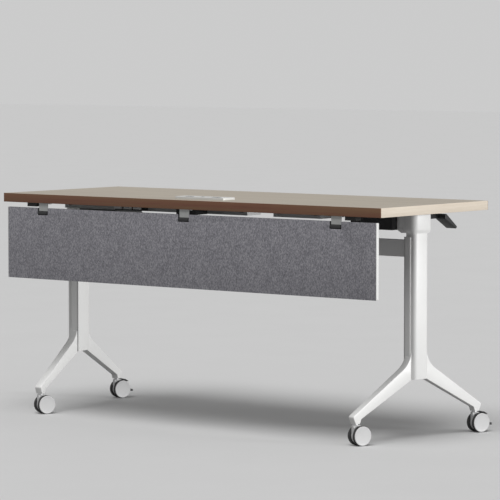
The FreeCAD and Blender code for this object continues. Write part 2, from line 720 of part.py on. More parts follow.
def modesty_panel():
    """Board between two felt faces with end trims, notched for three hinges."""
    length = "(PANEL_LENGTH - 2 * trim_thick)"
    base = "(PANEL_TOP - panel_height)"
    for name, start, thick in (("panel_felt_front", "PANEL_FRONT", "felt_thick"),
                               ("panel_board", "PANEL_FRONT + felt_thick", "board_thick"),
                               ("panel_felt_rear", "PANEL_FRONT + felt_thick + board_thick", "felt_thick")):
        sheet = box(name + "_sheet", (f"-{length} / 2", start, base), (length, thick, "panel_height"))
        tools = []
        for number in (-1, 0, 1):
            tools.append(box(f"{name}_notch{number + 1}",
                             (f"{number} * HINGE_PITCH - NOTCH_HALF", f"{start} - overrun",
                              "HINGE_Z - barrel_radius - notch_below"),
                             ("2 * NOTCH_HALF", f"{thick} + 2 * overrun", "hinge_drop + barrel_radius")))
            if name == "panel_board":
                tools.append(rod(f"{name}_pin_hole{number + 1}", "X",
                                 (f"{number} * HINGE_PITCH - NOTCH_HALF - hinge_pin_grip - seat_gap",
                                  "HINGE_Y", "HINGE_Z"), "hinge_pin_radius + running_gap",
                                 "2 * (NOTCH_HALF + hinge_pin_grip + seat_gap)"))
        keep(name, cut(name, sheet, *tools))
    trim = drawn("end_trim_right", "XZ_Plane",
                 [("PANEL_LENGTH / 2 - trim_thick", base), ("PANEL_LENGTH / 2", base),
                  ("PANEL_LENGTH / 2", "PANEL_TOP"), ("PANEL_LENGTH / 2 - trim_thick", "PANEL_TOP")],
                 "PANEL_THICK")
    rounded(trim, "trim_thick - running_gap",
            [("PANEL_LENGTH / 2", None, end) for end in (base, "PANEL_TOP")])
    bind(trim, y="HINGE_Y")
    keep("panel_end_trims", group("panel_end_trims", trim, mirrored("end_trim_left", trim)))


def panel_hinges():
    """Three straps from the underside, each with a barrel at its foot and a pin into the panel."""
    straps, barrels, pins = [], [], []
    for number in (-1, 0, 1):
        left = f"({number} * HINGE_PITCH - strap_width / 2)"
        foot = box(f"strap_foot{number + 1}", (left, "HINGE_Y - strap_thick / 2", "UNDERSIDE - strap_thick"),
                   ("strap_width", "strap_foot", "strap_thick"))
        leaf = box(f"strap_leaf{number + 1}", (left, "HINGE_Y - strap_thick / 2",
                                               "HINGE_Z + barrel_radius + running_gap"),
                   ("strap_width", "strap_thick", "hinge_drop - barrel_radius - running_gap"))
        straps.append(cut(f"hinge_strap{number + 1}", fuse(f"strap_bent{number + 1}", foot, leaf),
                          *screw_holes("strap_bent", f"strap{number + 1}")))
        sleeve = rod(f"hinge_sleeve{number + 1}", "X", (left, "HINGE_Y", "HINGE_Z"), "barrel_radius",
                     "strap_width")
        bore = rod(f"hinge_bore{number + 1}", "X", (f"{left} - overrun", "HINGE_Y", "HINGE_Z"),
                   "hinge_pin_radius", "strap_width + 2 * overrun")
        barrels.append(cut(f"hinge_barrel{number + 1}", sleeve, bore))
        pins.append(rod(f"hinge_pin{number + 1}", "X",
                        (f"{number} * HINGE_PITCH - NOTCH_HALF - hinge_pin_grip", "HINGE_Y", "HINGE_Z"),
                        "hinge_pin_radius", "2 * (NOTCH_HALF + hinge_pin_grip)"))
    keep("hinge_straps", group("hinge_straps", *straps))
    keep("hinge_barrels", group("hinge_barrels", *barrels))
    keep("hinge_pins", group("hinge_pins", *pins))


def leg_frame():
    """Cast Y frame: a straight column that divides into two tapering feet, bored for the castor stems."""
    half = [("stem_half", "STEM_TOP"), ("stem_half", "KNEE_HEIGHT"), ("FOOT_REACH", "FOOT_TIP"),
            ("FOOT_HEEL", "FOOT_BASE"), ("FOOT_INNER", "FOOT_BASE"),
            ("castor_span - foot_step_in", "FOOT_STEP"), ("crotch_half", "CROTCH_HEIGHT")]
    outline = half + [("-" + across.replace(" - ", " + "), height) for across, height in reversed(half)]
    side_view = drawn("leg_side", "YZ_Plane", outline, "frame_thick")
    both = ("", "-")
    rounded(side_view, "knee_radius", [(None, side + "stem_half", "KNEE_HEIGHT") for side in both])
    rounded(side_view, "foot_round", [(None, side + "FOOT_REACH", "FOOT_TIP") for side in both])
    rounded(side_view, "crotch_round", [(None, side + "crotch_half", "CROTCH_HEIGHT") for side in both])
    far = "(FOOT_REACH + overrun)"
    plan = [("frame_thick / 2", "stem_half"), ("frame_thick / 2", "-stem_half"), ("tip_thick / 2", f"-{far}"),
            ("-tip_thick / 2", f"-{far}"), ("-frame_thick / 2", "-stem_half"),
            ("-frame_thick / 2", "stem_half"), ("-tip_thick / 2", far), ("tip_thick / 2", far)]
    taper = drawn("leg_taper", "XY_Plane", plan, "STEM_TOP", False)
    body = add("Part::MultiCommon", "leg_casting")
    body.Shapes = [side_view, taper]
    sockets = [rod(f"stem_socket{number}", "Z", ("0", f"{side} * castor_span", "FOOT_BASE - overrun"),
                   "stem_radius", "stem_in_leg + overrun")
               for number, side in enumerate((-1, 1))]
    right = keep("leg_frame_right", on_leg(cut("leg_frame_right", body, *sockets,
                                               *beam_screw_rods("leg_frame", "screw_radius"))))
    keep("leg_frame_left", mirrored("leg_frame_left", right))


def column_covers():
    """Rounded outer profile and flat inner cover that clip on the column."""
    outer = "(frame_thick / 2 + profile_thick)"
    body = drawn("outer_profile_body", "XY_Plane",
                 [("frame_thick / 2", "-profile_front"), (outer, "-profile_front"), (outer, "profile_rear"),
                  ("frame_thick / 2", "profile_rear")], "STEM_TOP - CROTCH_HEIGHT", False, "CROTCH_HEIGHT")
    rounded(body, "profile_round", [(outer, "-profile_front", None), (outer, "profile_rear", None)])
    right = keep("outer_profile_right", on_leg(group("outer_profile_right", body)))
    keep("outer_profile_left", mirrored("outer_profile_left", right))

    inner = "(-frame_thick / 2 - cover_thick)"
    body = drawn("inner_cover_body", "XY_Plane",
                 [(inner, "-cover_front"), ("-frame_thick / 2", "-cover_front"),
                  ("-frame_thick / 2", "cover_rear"), (inner, "cover_rear")],
                 "COVER_TOP - CROTCH_HEIGHT", False, "CROTCH_HEIGHT")
    rounded(body, "cover_round", [(inner, "-cover_front", None), (inner, "cover_rear", None)])
    right = keep("inner_cover_right", on_leg(cut("inner_cover_right", body,
                                                 *beam_screw_rods("inner_cover", "screw_radius"))))
    keep("inner_cover_left", mirrored("inner_cover_left", right))


def ring(half, outer, inner, radius, height):
    """A wire round the column: a rectangle with its outer corners rounded."""
    across, along = Vector(1, 0, 0), Vector(0, 1, 0)
    base = Vector(0, 0, height)
    points = [base + across * a + along * b for a, b in
              ((-inner, -half), (outer - radius, -half), (outer, radius - half), (outer, half - radius),
               (outer - radius, half), (-inner, half))]
    mids = [base + across * (outer - radius + radius * value("cos(45)")) +
            along * side * (half - radius + radius * value("cos(45)")) for side in (-1, 1)]
    edges = [Part.LineSegment(points[0], points[1]), Part.Arc(points[1], mids[0], points[2]),
             Part.LineSegment(points[2], points[3]), Part.Arc(points[3], mids[1], points[4]),
             Part.LineSegment(points[4], points[5]), Part.LineSegment(points[5], points[0])]
    return Part.Wire([edge.toShape() for edge in edges])


def column_head():
    """Head casting: a rounded boss over the column, an inboard block with the pivot ear, and a gusset."""
    shoulder = value("STEM_TOP + head_taper")
    big = [value(name) for name in ("head_half", "head_outer", "head_inner", "head_round")]
    small = [value(name) for name in ("neck_half", "neck_outer", "head_inner", "profile_round")]
    boss = add("Part::Feature", "head_boss")
    upper = Part.Face(ring(*big, shoulder)).extrude(Vector(0, 0, value("HEAD_TOP") - shoulder))
    lower = Part.makeLoft([ring(*small, value("STEM_TOP")), ring(*big, shoulder)], True, True)
    boss.Shape = upper.fuse(lower).removeSplitter()
    on_leg(boss)
    block = box("head_block", ("BLOCK_INNER", "-block_half", "UNDERSIDE - block_drop"),
                ("BLOCK_OUTER - BLOCK_INNER", "2 * block_half", "block_drop - seat_gap"))
    gusset = drawn("head_gusset", "XZ_Plane",
                   [("BLOCK_INNER", "UNDERSIDE - block_drop"), ("BLOCK_INNER + gusset_slope", "STEM_TOP"),
                    ("GUSSET_OUTER", "STEM_TOP"),
                    ("GUSSET_OUTER", "UNDERSIDE - block_drop + overrun"),
                    ("BLOCK_INNER", "UNDERSIDE - block_drop + overrun")], "2 * block_half")
    ear = rod("head_ear", "X", ("BLOCK_INNER", "pivot_back", "PIVOT_Z"), "ear_radius",
              "BLOCK_OUTER - BLOCK_INNER - overrun")
    hole = rod("head_pin_hole", "X", ("BLOCK_INNER - overrun", "pivot_back", "PIVOT_Z"), "pivot_radius",
               "pivot_length / 2 + overrun")
    right = keep("column_head_right", cut("column_head_right", fuse("head_casting", boss, block, gusset, ear),
                                          hole))
    keep("column_head_left", mirrored("column_head_left", right))


def tilt_pins():
    """Pivot pins pressed in the heads, each with the lock plate that the lever's pad grips."""
    pin = rod("pivot_pin_right", "X", ("BLOCK_INNER - pivot_length / 2", "pivot_back", "PIVOT_Z"),
              "pivot_radius", "pivot_length")
    keep("pivot_pins", group("pivot_pins", pin, mirrored("pivot_pin_left", pin)))
    disc = rod("lock_disc", "X", ("LOCK_X", "pivot_back", "PIVOT_Z"), "lock_radius", "lock_plate")
    above = box("lock_trim_above",
                ("LOCK_X - overrun", "pivot_back - 2 * lock_radius", "PIVOT_Z + lock_trim"),
                ("lock_plate + 2 * overrun", "4 * lock_radius", "2 * lock_radius"))
    behind = box("lock_trim_behind",
                 ("LOCK_X - overrun", "pivot_back + lock_trim", "PIVOT_Z - 2 * lock_radius"),
                 ("lock_plate + 2 * overrun", "2 * lock_radius", "4 * lock_radius"))
    hole = rod("lock_hole", "X", ("LOCK_X - overrun", "pivot_back", "PIVOT_Z"), "pivot_radius",
               "lock_plate + 2 * overrun")
    right = cut("lock_plate_right", disc, above, behind, hole)
    keep("lock_plates", group("lock_plates", right, mirrored("lock_plate_left", right)))


def beam_screw_rods(owner, radius):
    """Four rods along the leg's own outward line, where the end plate is screwed to the column."""
    return [rod(f"{owner}_beam_screw{side + 1}{end}", "X",
                ("PLATE_INNER - screw_head_height / 2", f"BEAM_SHIFT + {side} * beam_screw_out",
                 f"BEAM_BASE + beam_screw_inset + {end} * (beam_height - 2 * beam_screw_inset)"),
                radius, "beam_screw_length")
            for side in (-1, 1) for end in (0, 1)]


def stretcher():
    """Open trough between the columns with an end plate screwed to each column."""
    outside = box("beam_outside", ("-LEG_X", "-beam_half", "BEAM_BASE"),
                  ("2 * LEG_X", "2 * beam_half", "beam_height"))
    inside = box("beam_inside", ("-LEG_X - overrun", "beam_wall - beam_half", "BEAM_BASE + beam_wall"),
                 ("2 * LEG_X + 2 * overrun", "2 * (beam_half - beam_wall)", "beam_height"))
    stop = on_leg(group("beam_stop", box("beam_stop_block",
                                         ("PLATE_INNER + end_plate / 2", "-LEG_X / 2", "0"),
                                         ("LEG_X", "LEG_X", "LEG_X"))))
    blank = box("end_plate_blank", ("PLATE_INNER", "BEAM_SHIFT - end_plate_half", "BEAM_BASE"),
                ("end_plate", "2 * end_plate_half", "beam_height"))
    plate = on_leg(cut("end_plate_right", blank, *beam_screw_rods("end_plate", "screw_radius")))
    trough = cut("beam_trough", outside, inside, stop, mirrored("beam_stop_left", stop))
    keep("stretcher_beam", fuse("stretcher_beam", trough, plate, mirrored("end_plate_left", plate)))
    screws = []
    for shank in beam_screw_rods("shank", "screw_radius"):
        head = rod(shank.Label + "_head", "X", ("0", "0", "0"), "screw_head_radius", "screw_head_height")
        bind(head, x="PLATE_INNER - screw_head_height")
        for name in ("y", "z"):
            head.setExpression(f"Placement.Base.{name}", f"{shank.Name}.Placement.Base.{name}")
        right = on_leg(fuse(shank.Label + "_screw", head, shank))
        screws += [right, mirrored(shank.Label + "_left", right)]
    keep("beam_screws", group("beam_screws", *screws))


def castor_stems():
    """Steel stems pressed up into the feet, each with a collar under the foot."""
    stems = []
    for number, (side, end) in enumerate(((a, b) for a in (-1, 1) for b in (-1, 1))):
        across = f"({side} * (LEG_X + {end} * CASTOR_X))"
        along = f"({end} * CASTOR_Y)"
        shaft = rod(f"stem_shaft{number}", "Z", (across, along, "CAP_TOP - stem_in_hood"), "stem_radius",
                    "FOOT_BASE + stem_in_leg - CAP_TOP + stem_in_hood")
        collar = rod(f"stem_collar{number}", "Z", (across, along, "CAP_TOP + collar_gap"), "collar_radius",
                     "FOOT_BASE - CAP_TOP - collar_gap")
        stems.append(fuse(f"castor_stem{number}", shaft, collar))
    keep("castor_stems", group("castor_stems", *stems))


def castor(name, side, end):
    """Twin-wheel castor about its own stem line, trailing along the piece's own +Y, then set in place."""
    def placed(piece):
        whole = group(piece.Label + "_set", piece)
        whole.Placement = Placement(Vector(), Rotation(Vector(0, 0, -1), 1))
        bind(whole, x=f"{side} * (LEG_X + {end} * CASTOR_X)", y=f"{end} * CASTOR_Y")
        whole.setExpression("Placement.Rotation.Angle", bound("castor_turn"))
        return whole

    spine = rod(name + "_spine", "X", ("-hood_half", "castor_trail", "AXLE_Z"), "hood_radius",
                "2 * hood_half")
    neck = box(name + "_neck", ("-hood_half", "-cap_radius", "AXLE_Z"),
               ("2 * hood_half", "castor_trail + cap_radius", "CAP_BOTTOM - AXLE_Z + cap_gap"))
    cap = rod(name + "_cap", "Z", ("0", "0", "CAP_BOTTOM"), "cap_radius", "cap_height")
    stem_bore = rod(name + "_stem_bore", "Z", ("0", "0", "CAP_TOP - stem_in_hood - seat_gap"),
                    "stem_radius + running_gap", "stem_in_hood + overrun")
    axle_bore = rod(name + "_axle_bore", "X", ("-hood_half - overrun", "castor_trail", "AXLE_Z"),
                    "axle_radius", "2 * hood_half + 2 * overrun")
    tools = [stem_bore, axle_bore]
    if end > 0:
        tools.append(box(name + "_pedal_slot", ("-pedal_web_half - pedal_slot_gap",
                                                "PEDAL_Y - pedal_barrel - 2 * pedal_slot_gap",
                                                "PEDAL_Z - pedal_barrel - 2 * pedal_slot_gap"),
                         ("2 * (pedal_web_half + pedal_slot_gap)", "hood_radius", "hood_radius")))
        tools.append(rod(name + "_pedal_pin_hole", "X", ("-hood_half - overrun", "PEDAL_Y", "PEDAL_Z"),
                         "pedal_pin_radius", "2 * hood_half + 2 * overrun"))
    hood = cut(name + "_hood_body", fuse(name + "_hood_blank", spine, neck, cap), *tools)
    keep(name + "_hood", placed(hood))
    axle = rod(name + "_axle_rod", "X", ("-wheel_inner - wheel_width + disc_thick + seat_gap", "castor_trail",
                                         "AXLE_Z"),
               "axle_radius", "2 * (wheel_inner + wheel_width - disc_thick - seat_gap)")
    pins = [axle]
    if end > 0:
        pins.append(rod(name + "_pedal_pin", "X", ("-hood_half", "PEDAL_Y", "PEDAL_Z"), "pedal_pin_radius",
                        "2 * hood_half"))
    keep(name + "_axle", placed(group(name + "_pins", *pins)))
    wheel = turned(name + "_wheel",
                   [("wheel_inner", "axle_radius + running_gap"),
                    ("wheel_inner", "wheel_radius - wheel_edge"),
                    ("wheel_inner + wheel_edge", "wheel_radius"),
                    ("wheel_inner + wheel_width - wheel_edge / 2", "wheel_radius"),
                    ("wheel_inner + wheel_width - disc_thick / 2", "disc_radius"),
                    ("wheel_inner + wheel_width - disc_thick", "disc_radius"),
                    ("wheel_inner + wheel_width - disc_thick", "axle_radius + running_gap")])
    disc = turned(name + "_disc",
                  [("wheel_inner + wheel_width - disc_thick", "0"),
                   ("wheel_inner + wheel_width - disc_thick", "disc_radius"),
                   ("wheel_inner + wheel_width - disc_edge", "disc_radius"),
                   ("wheel_inner + wheel_width", "disc_radius - disc_bevel"),
                   ("wheel_inner + wheel_width", "0")])
    for body, node in ((wheel, name + "_tyres"), (disc, name + "_hub_discs")):
        bind(body, y="castor_trail", z="AXLE_Z")
        keep(node, placed(group(node + "_pair", body, mirrored(node + "_far", body))))
    if end > 0:
        pedal(name, placed)


def pedal(name, placed):
    """Brake pedal: a web hung in the hood's slot, a foot plate bent over the wheels and a tab behind."""
    barrel = rod(name + "_pedal_barrel", "X", ("-pedal_web_half", "PEDAL_Y", "PEDAL_Z"), "pedal_barrel",
                 "2 * pedal_web_half")
    top = "(AXLE_Z + pedal_plate_rise + pedal_plate_thick)"
    outline = [("castor_trail + pedal_plate_front", f"{top} - pedal_plate_thick"),
               ("castor_trail + pedal_plate_front", top), ("castor_trail + pedal_plate_bend", top),
               ("castor_trail + pedal_plate_rear", f"{top} - pedal_plate_drop"),
               ("castor_trail + pedal_plate_rear", f"{top} - pedal_plate_drop - pedal_plate_thick"),
               ("castor_trail + pedal_plate_bend", f"{top} - pedal_plate_thick")]
    plate = drawn(name + "_pedal_plate", "YZ_Plane", outline, "2 * pedal_half")
    tab_base = "(AXLE_Z - pedal_tab_drop - pedal_tab_height / 2)"
    curve = [(f"(castor_trail + pedal_web_inner * cos({angle}))",
              f"(AXLE_Z + pedal_web_inner * sin({angle}))")
             for angle in ("pedal_low_angle", "pedal_high_angle")]
    web = drawn(name + "_pedal_web", "YZ_Plane",
                [("PEDAL_Y - pedal_barrel", "PEDAL_Z"),
                 ("PEDAL_Y - pedal_barrel", f"{top} - pedal_plate_thick / 2"),
                 ("castor_trail + pedal_plate_bend", f"{top} - pedal_plate_thick / 2"),
                 ("castor_trail + pedal_plate_rear", f"{top} - pedal_plate_drop - pedal_plate_thick / 2"),
                 ("castor_trail + pedal_tab_near", "AXLE_Z + pedal_tab_drop"),
                 ("castor_trail + pedal_tab_far", f"{tab_base} + pedal_tab_height"),
                 ("castor_trail + pedal_tab_far", tab_base), ("castor_trail + pedal_web_inner", tab_base),
                 *curve,
                 ("PEDAL_Y + pedal_barrel", "PEDAL_Z + pedal_barrel / 2"),
                 ("PEDAL_Y + pedal_barrel", "PEDAL_Z")], "2 * pedal_web_half")
    tab = box(name + "_pedal_tab", ("-pedal_half", "castor_trail + pedal_tab_near", tab_base),
              ("2 * pedal_half", "pedal_tab_far - pedal_tab_near", "pedal_tab_height"))
    hole = rod(name + "_pedal_bore", "X", ("-pedal_half", "PEDAL_Y", "PEDAL_Z"),
               "pedal_pin_radius + running_gap", "2 * pedal_half")
    blank = fuse(name + "_pedal_blank", barrel, web, plate, tab)
    keep(name + "_brake_pedal", placed(cut(name + "_pedal_body", blank, hole)))


worktop()
power_module()
under_top()
tilt_housing()
underside_screws()
release_lever()
modesty_panel()
panel_hinges()
leg_frame()
column_covers()
column_head()
tilt_pins()
stretcher()
castor_stems()
for castor_name, castor_side, castor_end in (("castor_front_left", -1, -1), ("castor_front_right", 1, -1),
                                             ("castor_rear_left", -1, 1), ("castor_rear_right", 1, 1)):
    castor(castor_name, castor_side, castor_end)
DOC.recompute()

for feature in DOC.Objects:
    if {"Invalid", "Error"} & set(feature.State):
        raise RuntimeError(f"{feature.Label} failed: {feature.State}")
os.makedirs("parts", exist_ok=True)
for node, feature in NODES.items():
    shape = feature.Shape
    if shape.isNull() or not shape.isValid() or not shape.Solids:
        raise RuntimeError(f"{node} has no valid solid")
for node, feature in NODES.items():
    feature.Shape.exportStep(os.path.join("parts", node + ".step"))
    print(f"{node}: {len(feature.Shape.Solids)} solids, {feature.Shape.Volume / 1000:.1f} cm3")
print(len(NODES), "nodes")
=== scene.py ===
import math

import bmesh
import bpy
import numpy as np
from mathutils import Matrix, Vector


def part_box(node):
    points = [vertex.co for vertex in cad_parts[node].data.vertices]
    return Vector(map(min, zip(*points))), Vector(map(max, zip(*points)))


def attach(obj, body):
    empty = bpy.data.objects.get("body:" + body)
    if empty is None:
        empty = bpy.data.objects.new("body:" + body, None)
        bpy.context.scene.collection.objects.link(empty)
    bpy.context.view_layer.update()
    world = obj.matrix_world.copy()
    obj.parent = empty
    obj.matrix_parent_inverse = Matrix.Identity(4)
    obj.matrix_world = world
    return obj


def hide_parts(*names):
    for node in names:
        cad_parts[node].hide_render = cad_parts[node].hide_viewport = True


# Flip-top training table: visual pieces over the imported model. Metres, X along the table, Y to the
# user's side, Z up, origin on the floor midway between the leg columns.

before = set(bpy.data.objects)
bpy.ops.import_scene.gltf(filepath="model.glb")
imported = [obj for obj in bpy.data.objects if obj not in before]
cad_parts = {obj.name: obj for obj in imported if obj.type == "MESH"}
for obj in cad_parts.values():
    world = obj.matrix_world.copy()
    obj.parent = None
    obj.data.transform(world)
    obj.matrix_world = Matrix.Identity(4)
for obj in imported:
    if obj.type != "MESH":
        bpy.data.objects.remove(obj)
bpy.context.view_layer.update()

MM = 0.001
SIDES = {"right": 1, "left": -1}
CORNERS = {"front_left": (-1, -1), "front_right": (1, -1), "rear_left": (-1, 1), "rear_right": (1, 1)}

# Legs
LEG_X = 724 * MM
SPLAY = math.radians(11.3)
FRAME_THICK = 28 * MM
TIP_THICK = 24 * MM
STEM_HALF = 34 * MM
STEM_TOP = 666 * MM
KNEE_HEIGHT = 251 * MM
KNEE_RADIUS = 78 * MM
FOOT_REACH = 285 * MM
FOOT_TIP = 94 * MM
FOOT_BASE = 70 * MM
FOOT_STEP = 85 * MM
FOOT_STEP_IN = 14.5 * MM
FOOT_NECK = 9 * MM
FOOT_ROUND = 6 * MM
STEP_ROUND = 8 * MM
CASTOR_SPAN = 264.5 * MM
CROTCH_HEIGHT = 196 * MM
CROTCH_HALF = 29 * MM
CROTCH_ROUND = 10 * MM
CAST_EASE = 1.6 * MM
PROFILE_FRONT = 34 * MM
PROFILE_REAR = 28 * MM
PROFILE_THICK = 14 * MM
PROFILE_ROUND = 13 * MM
COVER_FRONT = 38 * MM
COVER_REAR = 36 * MM
COVER_THICK = 6 * MM
COVER_ROUND = 3 * MM
COVER_TOP = 654 * MM
LIP_REACH = 10 * MM
PLATE_EASE = 0.45 * MM

# Column heads: the neck where they meet the column, the boss, and the block and ear on its inner side
HEAD_INNER = 12 * MM
HEAD_TAPER = 13 * MM
NECK_HALF = 37 * MM
NECK_OUTER = 29 * MM
BOSS_HALF = 41 * MM
BOSS_OUTER = 33.5 * MM
BOSS_ROUND = 20 * MM
BOSS_STEPS = 9
SWELL_POWER = 1.35
TOP_STEP = 1 * MM
TOP_SHARE = 0.97
BLOCK_HALF = 35 * MM
BLOCK_FLOOR = 676 * MM
BLOCK_ROUND = 5 * MM
BLOCK_EASE = 2.5 * MM
GUSSET_SLOPE = 16 * MM
GUSSET_INSET = 23 * MM
GUSSET_RISE = 8 * MM
GUSSET_ROUND = 1.5 * MM
GUSSET_EASE = 2 * MM
EAR_RADIUS = 11.5 * MM
EAR_EASE = 1 * MM
EAR_SINK = 8 * MM
PIVOT = (42 * MM, 718 * MM)

# Castors
CASTOR_TURN = math.radians(21)
CASTOR_TRAIL = 15 * MM
WHEEL_RADIUS = 32 * MM
WHEEL_INNER = 7.5 * MM
WHEEL_WIDTH = 14.5 * MM
DISC_RADIUS = 27 * MM
DISC_CENTRE = 1 * MM
DISC_DEPTH = 0.9 * MM
DISC_DISH = 0.6 * MM
DISC_STEPS = 7

# Wheel outlines in millimetres: a radius, and a depth below the wheel's inner or outer face
TREAD_INNER = ((3.2, 0), (27, 0), (29.6, 0.3), (31.2, 1.2), (31.9, 2.6), (32, 5))
TREAD_OUTER = ((32, 4.5), (31.7, 2.6), (31.3, 1.9), (30.6, 2.2), (3.2, 2.5))
DISC_RIM = ((28, 0.1), (29, 0), (30.2, 0.25), (30.9, 0.9), (31.1, 1.7), (30.4, 2.1), (4, 2.4))

# Studio light: 1 is the level at which a colour renders as it is written
AMBIENT_LEVEL = 0.28
BACKDROP_LEVEL = 0.60
SIDE_LEVEL = 0.74
OVERHEAD_LEVEL = 0.56
FLOOR_BOUNCE = 0.30
FLOOR_COLOUR = 0.68

# Studio floor: half its side in metres, and how much its tone drifts
FLOOR_HALF = 40
FLOOR_CLOUD = 0.04

# Lamps: turns about X, Y and Z and spreads in degrees; the two side lamps share the side's level
SIDE_LAMPS = {"side_lamp_rear": (0.62, (0, 85, 18)), "side_lamp_front": (0.38, (0, 85, -6))}
SIDE_SPREAD = 14
OVERHEAD_TURN = (23, 7, 0)
OVERHEAD_SPREAD = 40

# The photograph's camera, fitted in its 500 pixel frame; angles in degrees
FRAME_PIXELS = 500
FOCAL_PIXELS = 2990
SENSOR_WIDTH = 36
CAMERA_PLACE = (6.241, -7.858, 1.266)
CAMERA_DOWN = 3.91
CAMERA_TURN = 38.27
CAMERA_REACH = 200

# Curved surfaces: steps of arcs, the least radius, the gap that merges points and the angle of sharp edges
ARC_STEPS = 8
EASE_STEPS = 3
ARRIS_STEPS = 4
TURN_STEPS = 72
LEAST_ARC = 0.05 * MM
MERGE_GAP = 0.002 * MM
SHARP_ANGLE = math.radians(35)


def leg_place(side):
    """Maps (along the leg, up, outward) to the table: the leg's plane turned by the splay, then mirrored."""
    def place(along, up, outward):
        x = LEG_X + outward * math.cos(SPLAY) + along * math.sin(SPLAY)
        y = along * math.cos(SPLAY) - outward * math.sin(SPLAY)
        return np.stack([SIDES[side] * x, y, up], axis=-1)
    return place


def castor_place(corner):
    """Maps (across, back, up) about the castor's stem line to the table, turned about the vertical."""
    side, end = CORNERS[corner]
    stem_x = side * (LEG_X + end * CASTOR_SPAN * math.sin(SPLAY))
    stem_y = end * CASTOR_SPAN * math.cos(SPLAY)

    def place(across, back, up):
        x = stem_x + across * math.cos(CASTOR_TURN) + back * math.sin(CASTOR_TURN)
        y = stem_y - across * math.sin(CASTOR_TURN) + back * math.cos(CASTOR_TURN)
        return np.stack([x, y, up], axis=-1)
    return place


def across_place(side):
    """Maps (back, up, along X) to the table, mirrored for the left side."""
    return lambda back, up, along: np.stack([side * along, back, up], axis=-1)


def front_place(along, up, back):
    """Maps (along X, up, back) to the table."""
    return np.stack([along, back, up], axis=-1)


def flat_place(along, back, up):
    """Maps (along X, back, up) to the table."""
    return np.stack([along, back, up], axis=-1)


def outline(corners, radii):
    """A closed outline: each corner gives way to an arc of its radius that touches both sides, each point of
    it a mean of the arc's ends weighted by the sines of the angles to them."""
    corners = np.asarray(corners, float)
    before = np.roll(corners, 1, axis=0) - corners
    after = np.roll(corners, -1, axis=0) - corners
    before /= np.linalg.norm(before, axis=1)[:, None]
    after /= np.linalg.norm(after, axis=1)[:, None]
    half = np.arccos(np.clip((before * after).sum(axis=1), -1, 1)) / 2
    radii = np.broadcast_to(np.asarray(radii, float), half.shape)
    middle = before + after
    middle /= np.linalg.norm(middle, axis=1)[:, None]
    centre = corners + middle * (radii / np.sin(half))[:, None]
    first = corners + before * (radii / np.tan(half))[:, None] - centre
    last = corners + after * (radii / np.tan(half))[:, None] - centre
    share = np.linspace(0, 1, ARC_STEPS + 1)[None, :, None]
    sweep = (math.pi - 2 * half)[:, None, None]
    of_first, of_last = np.sin((1 - share) * sweep), np.sin(share * sweep)
    arcs = (first[:, None] * of_first + last[:, None] * of_last) / np.sin(sweep)
    return (centre[:, None] + arcs).reshape(-1, 2)


def inward(ring):
    """Unit steps into a closed ring at its points, stretched at corners so that all sides move in equally."""
    ahead = np.roll(ring, -1, axis=0) - ring
    ahead /= np.linalg.norm(ahead, axis=1)[:, None]
    turned_left = np.stack([-ahead[:, 1], ahead[:, 0]], axis=1)
    area = (ring[:, 0] * np.roll(ring[:, 1], -1) - ring[:, 1] * np.roll(ring[:, 0], -1)).sum()
    step = turned_left + np.roll(turned_left, 1, axis=0)
    step /= np.linalg.norm(step, axis=1)[:, None]
    step /= (step * turned_left).sum(axis=1)[:, None]
    return step * math.copysign(1, area)


def ring_faces(rows, columns):
    """Quads between neighbouring rings of a closed grid."""
    row, column = np.meshgrid(np.arange(rows - 1), np.arange(columns), indexing="ij")
    here = row * columns + column
    beside = row * columns + (column + 1) % columns
    return np.stack([here, beside, beside + columns, here + columns], axis=-1).reshape(-1, 4).tolist()


def drawn_in(corners, radii, inset):
    """The outline of the corners after all its sides move in: outer arcs tighten and inner arcs widen."""
    corners = np.asarray(corners, float)
    ahead = np.roll(corners, -1, axis=0) - corners
    behind = corners - np.roll(corners, 1, axis=0)
    turn = behind[:, 0] * ahead[:, 1] - behind[:, 1] * ahead[:, 0]
    area = (corners[:, 0] * np.roll(corners[:, 1], -1) - corners[:, 1] * np.roll(corners[:, 0], -1)).sum()
    radii = np.maximum(radii - inset * np.sign(turn * area), LEAST_ARC)
    return outline(corners + inward(corners) * inset, radii)


def eased_plate(corners, radii, low, high, ease, place, reshape=None):
    """A plate of the outline's shape from low to high, drawn in by a quarter circle near both faces."""
    angle = np.linspace(0, math.pi / 2, EASE_STEPS + 1)
    inset = ease * (1 - np.sin(angle))
    depth = ease * (1 - np.cos(angle))
    insets = np.concatenate([inset, inset[::-1]])
    depths = np.concatenate([low + depth, (high - depth)[::-1]])
    flat = np.stack([drawn_in(corners, radii, inset) for inset in insets])
    across, along = flat[..., 0], flat[..., 1]
    level = np.broadcast_to(depths[:, None], across.shape)
    if reshape is not None:
        level = reshape(across, along, level)
    points = place(across, along, level).reshape(-1, 3)
    count = flat.shape[1]
    last = (len(depths) - 1) * count
    caps = [list(range(count)), list(range(last, last + count))]
    return points, ring_faces(len(depths), count) + caps


def stacked(rings, place):
    """A closed shape through a pile of rings with equal counts, each an array of (along, back, up) points."""
    rings = np.asarray(rings)
    rows, count = rings.shape[:2]
    points = place(rings[..., 0], rings[..., 1], rings[..., 2]).reshape(-1, 3)
    last = (rows - 1) * count
    return points, ring_faces(rows, count) + [list(range(count)), list(range(last, last + count))]


def turned(profile, place, centre):
    """A profile of (radius, along) pairs carried once round its line, which passes through the centre."""
    profile = np.asarray(profile, float)
    angle = np.linspace(0, 2 * math.pi, TURN_STEPS, endpoint=False)
    radius, along = profile[:, 0][:, None], profile[:, 1][:, None]
    points = place(along + 0 * angle, centre[0] + radius * np.cos(angle), centre[1] + radius * np.sin(angle))
    rows = len(profile)
    faces = ring_faces(rows, TURN_STEPS)
    last = (rows - 1) * TURN_STEPS
    ends = [list(range(TURN_STEPS)), list(range(last, last + TURN_STEPS))]
    return points.reshape(-1, 3), faces + ends


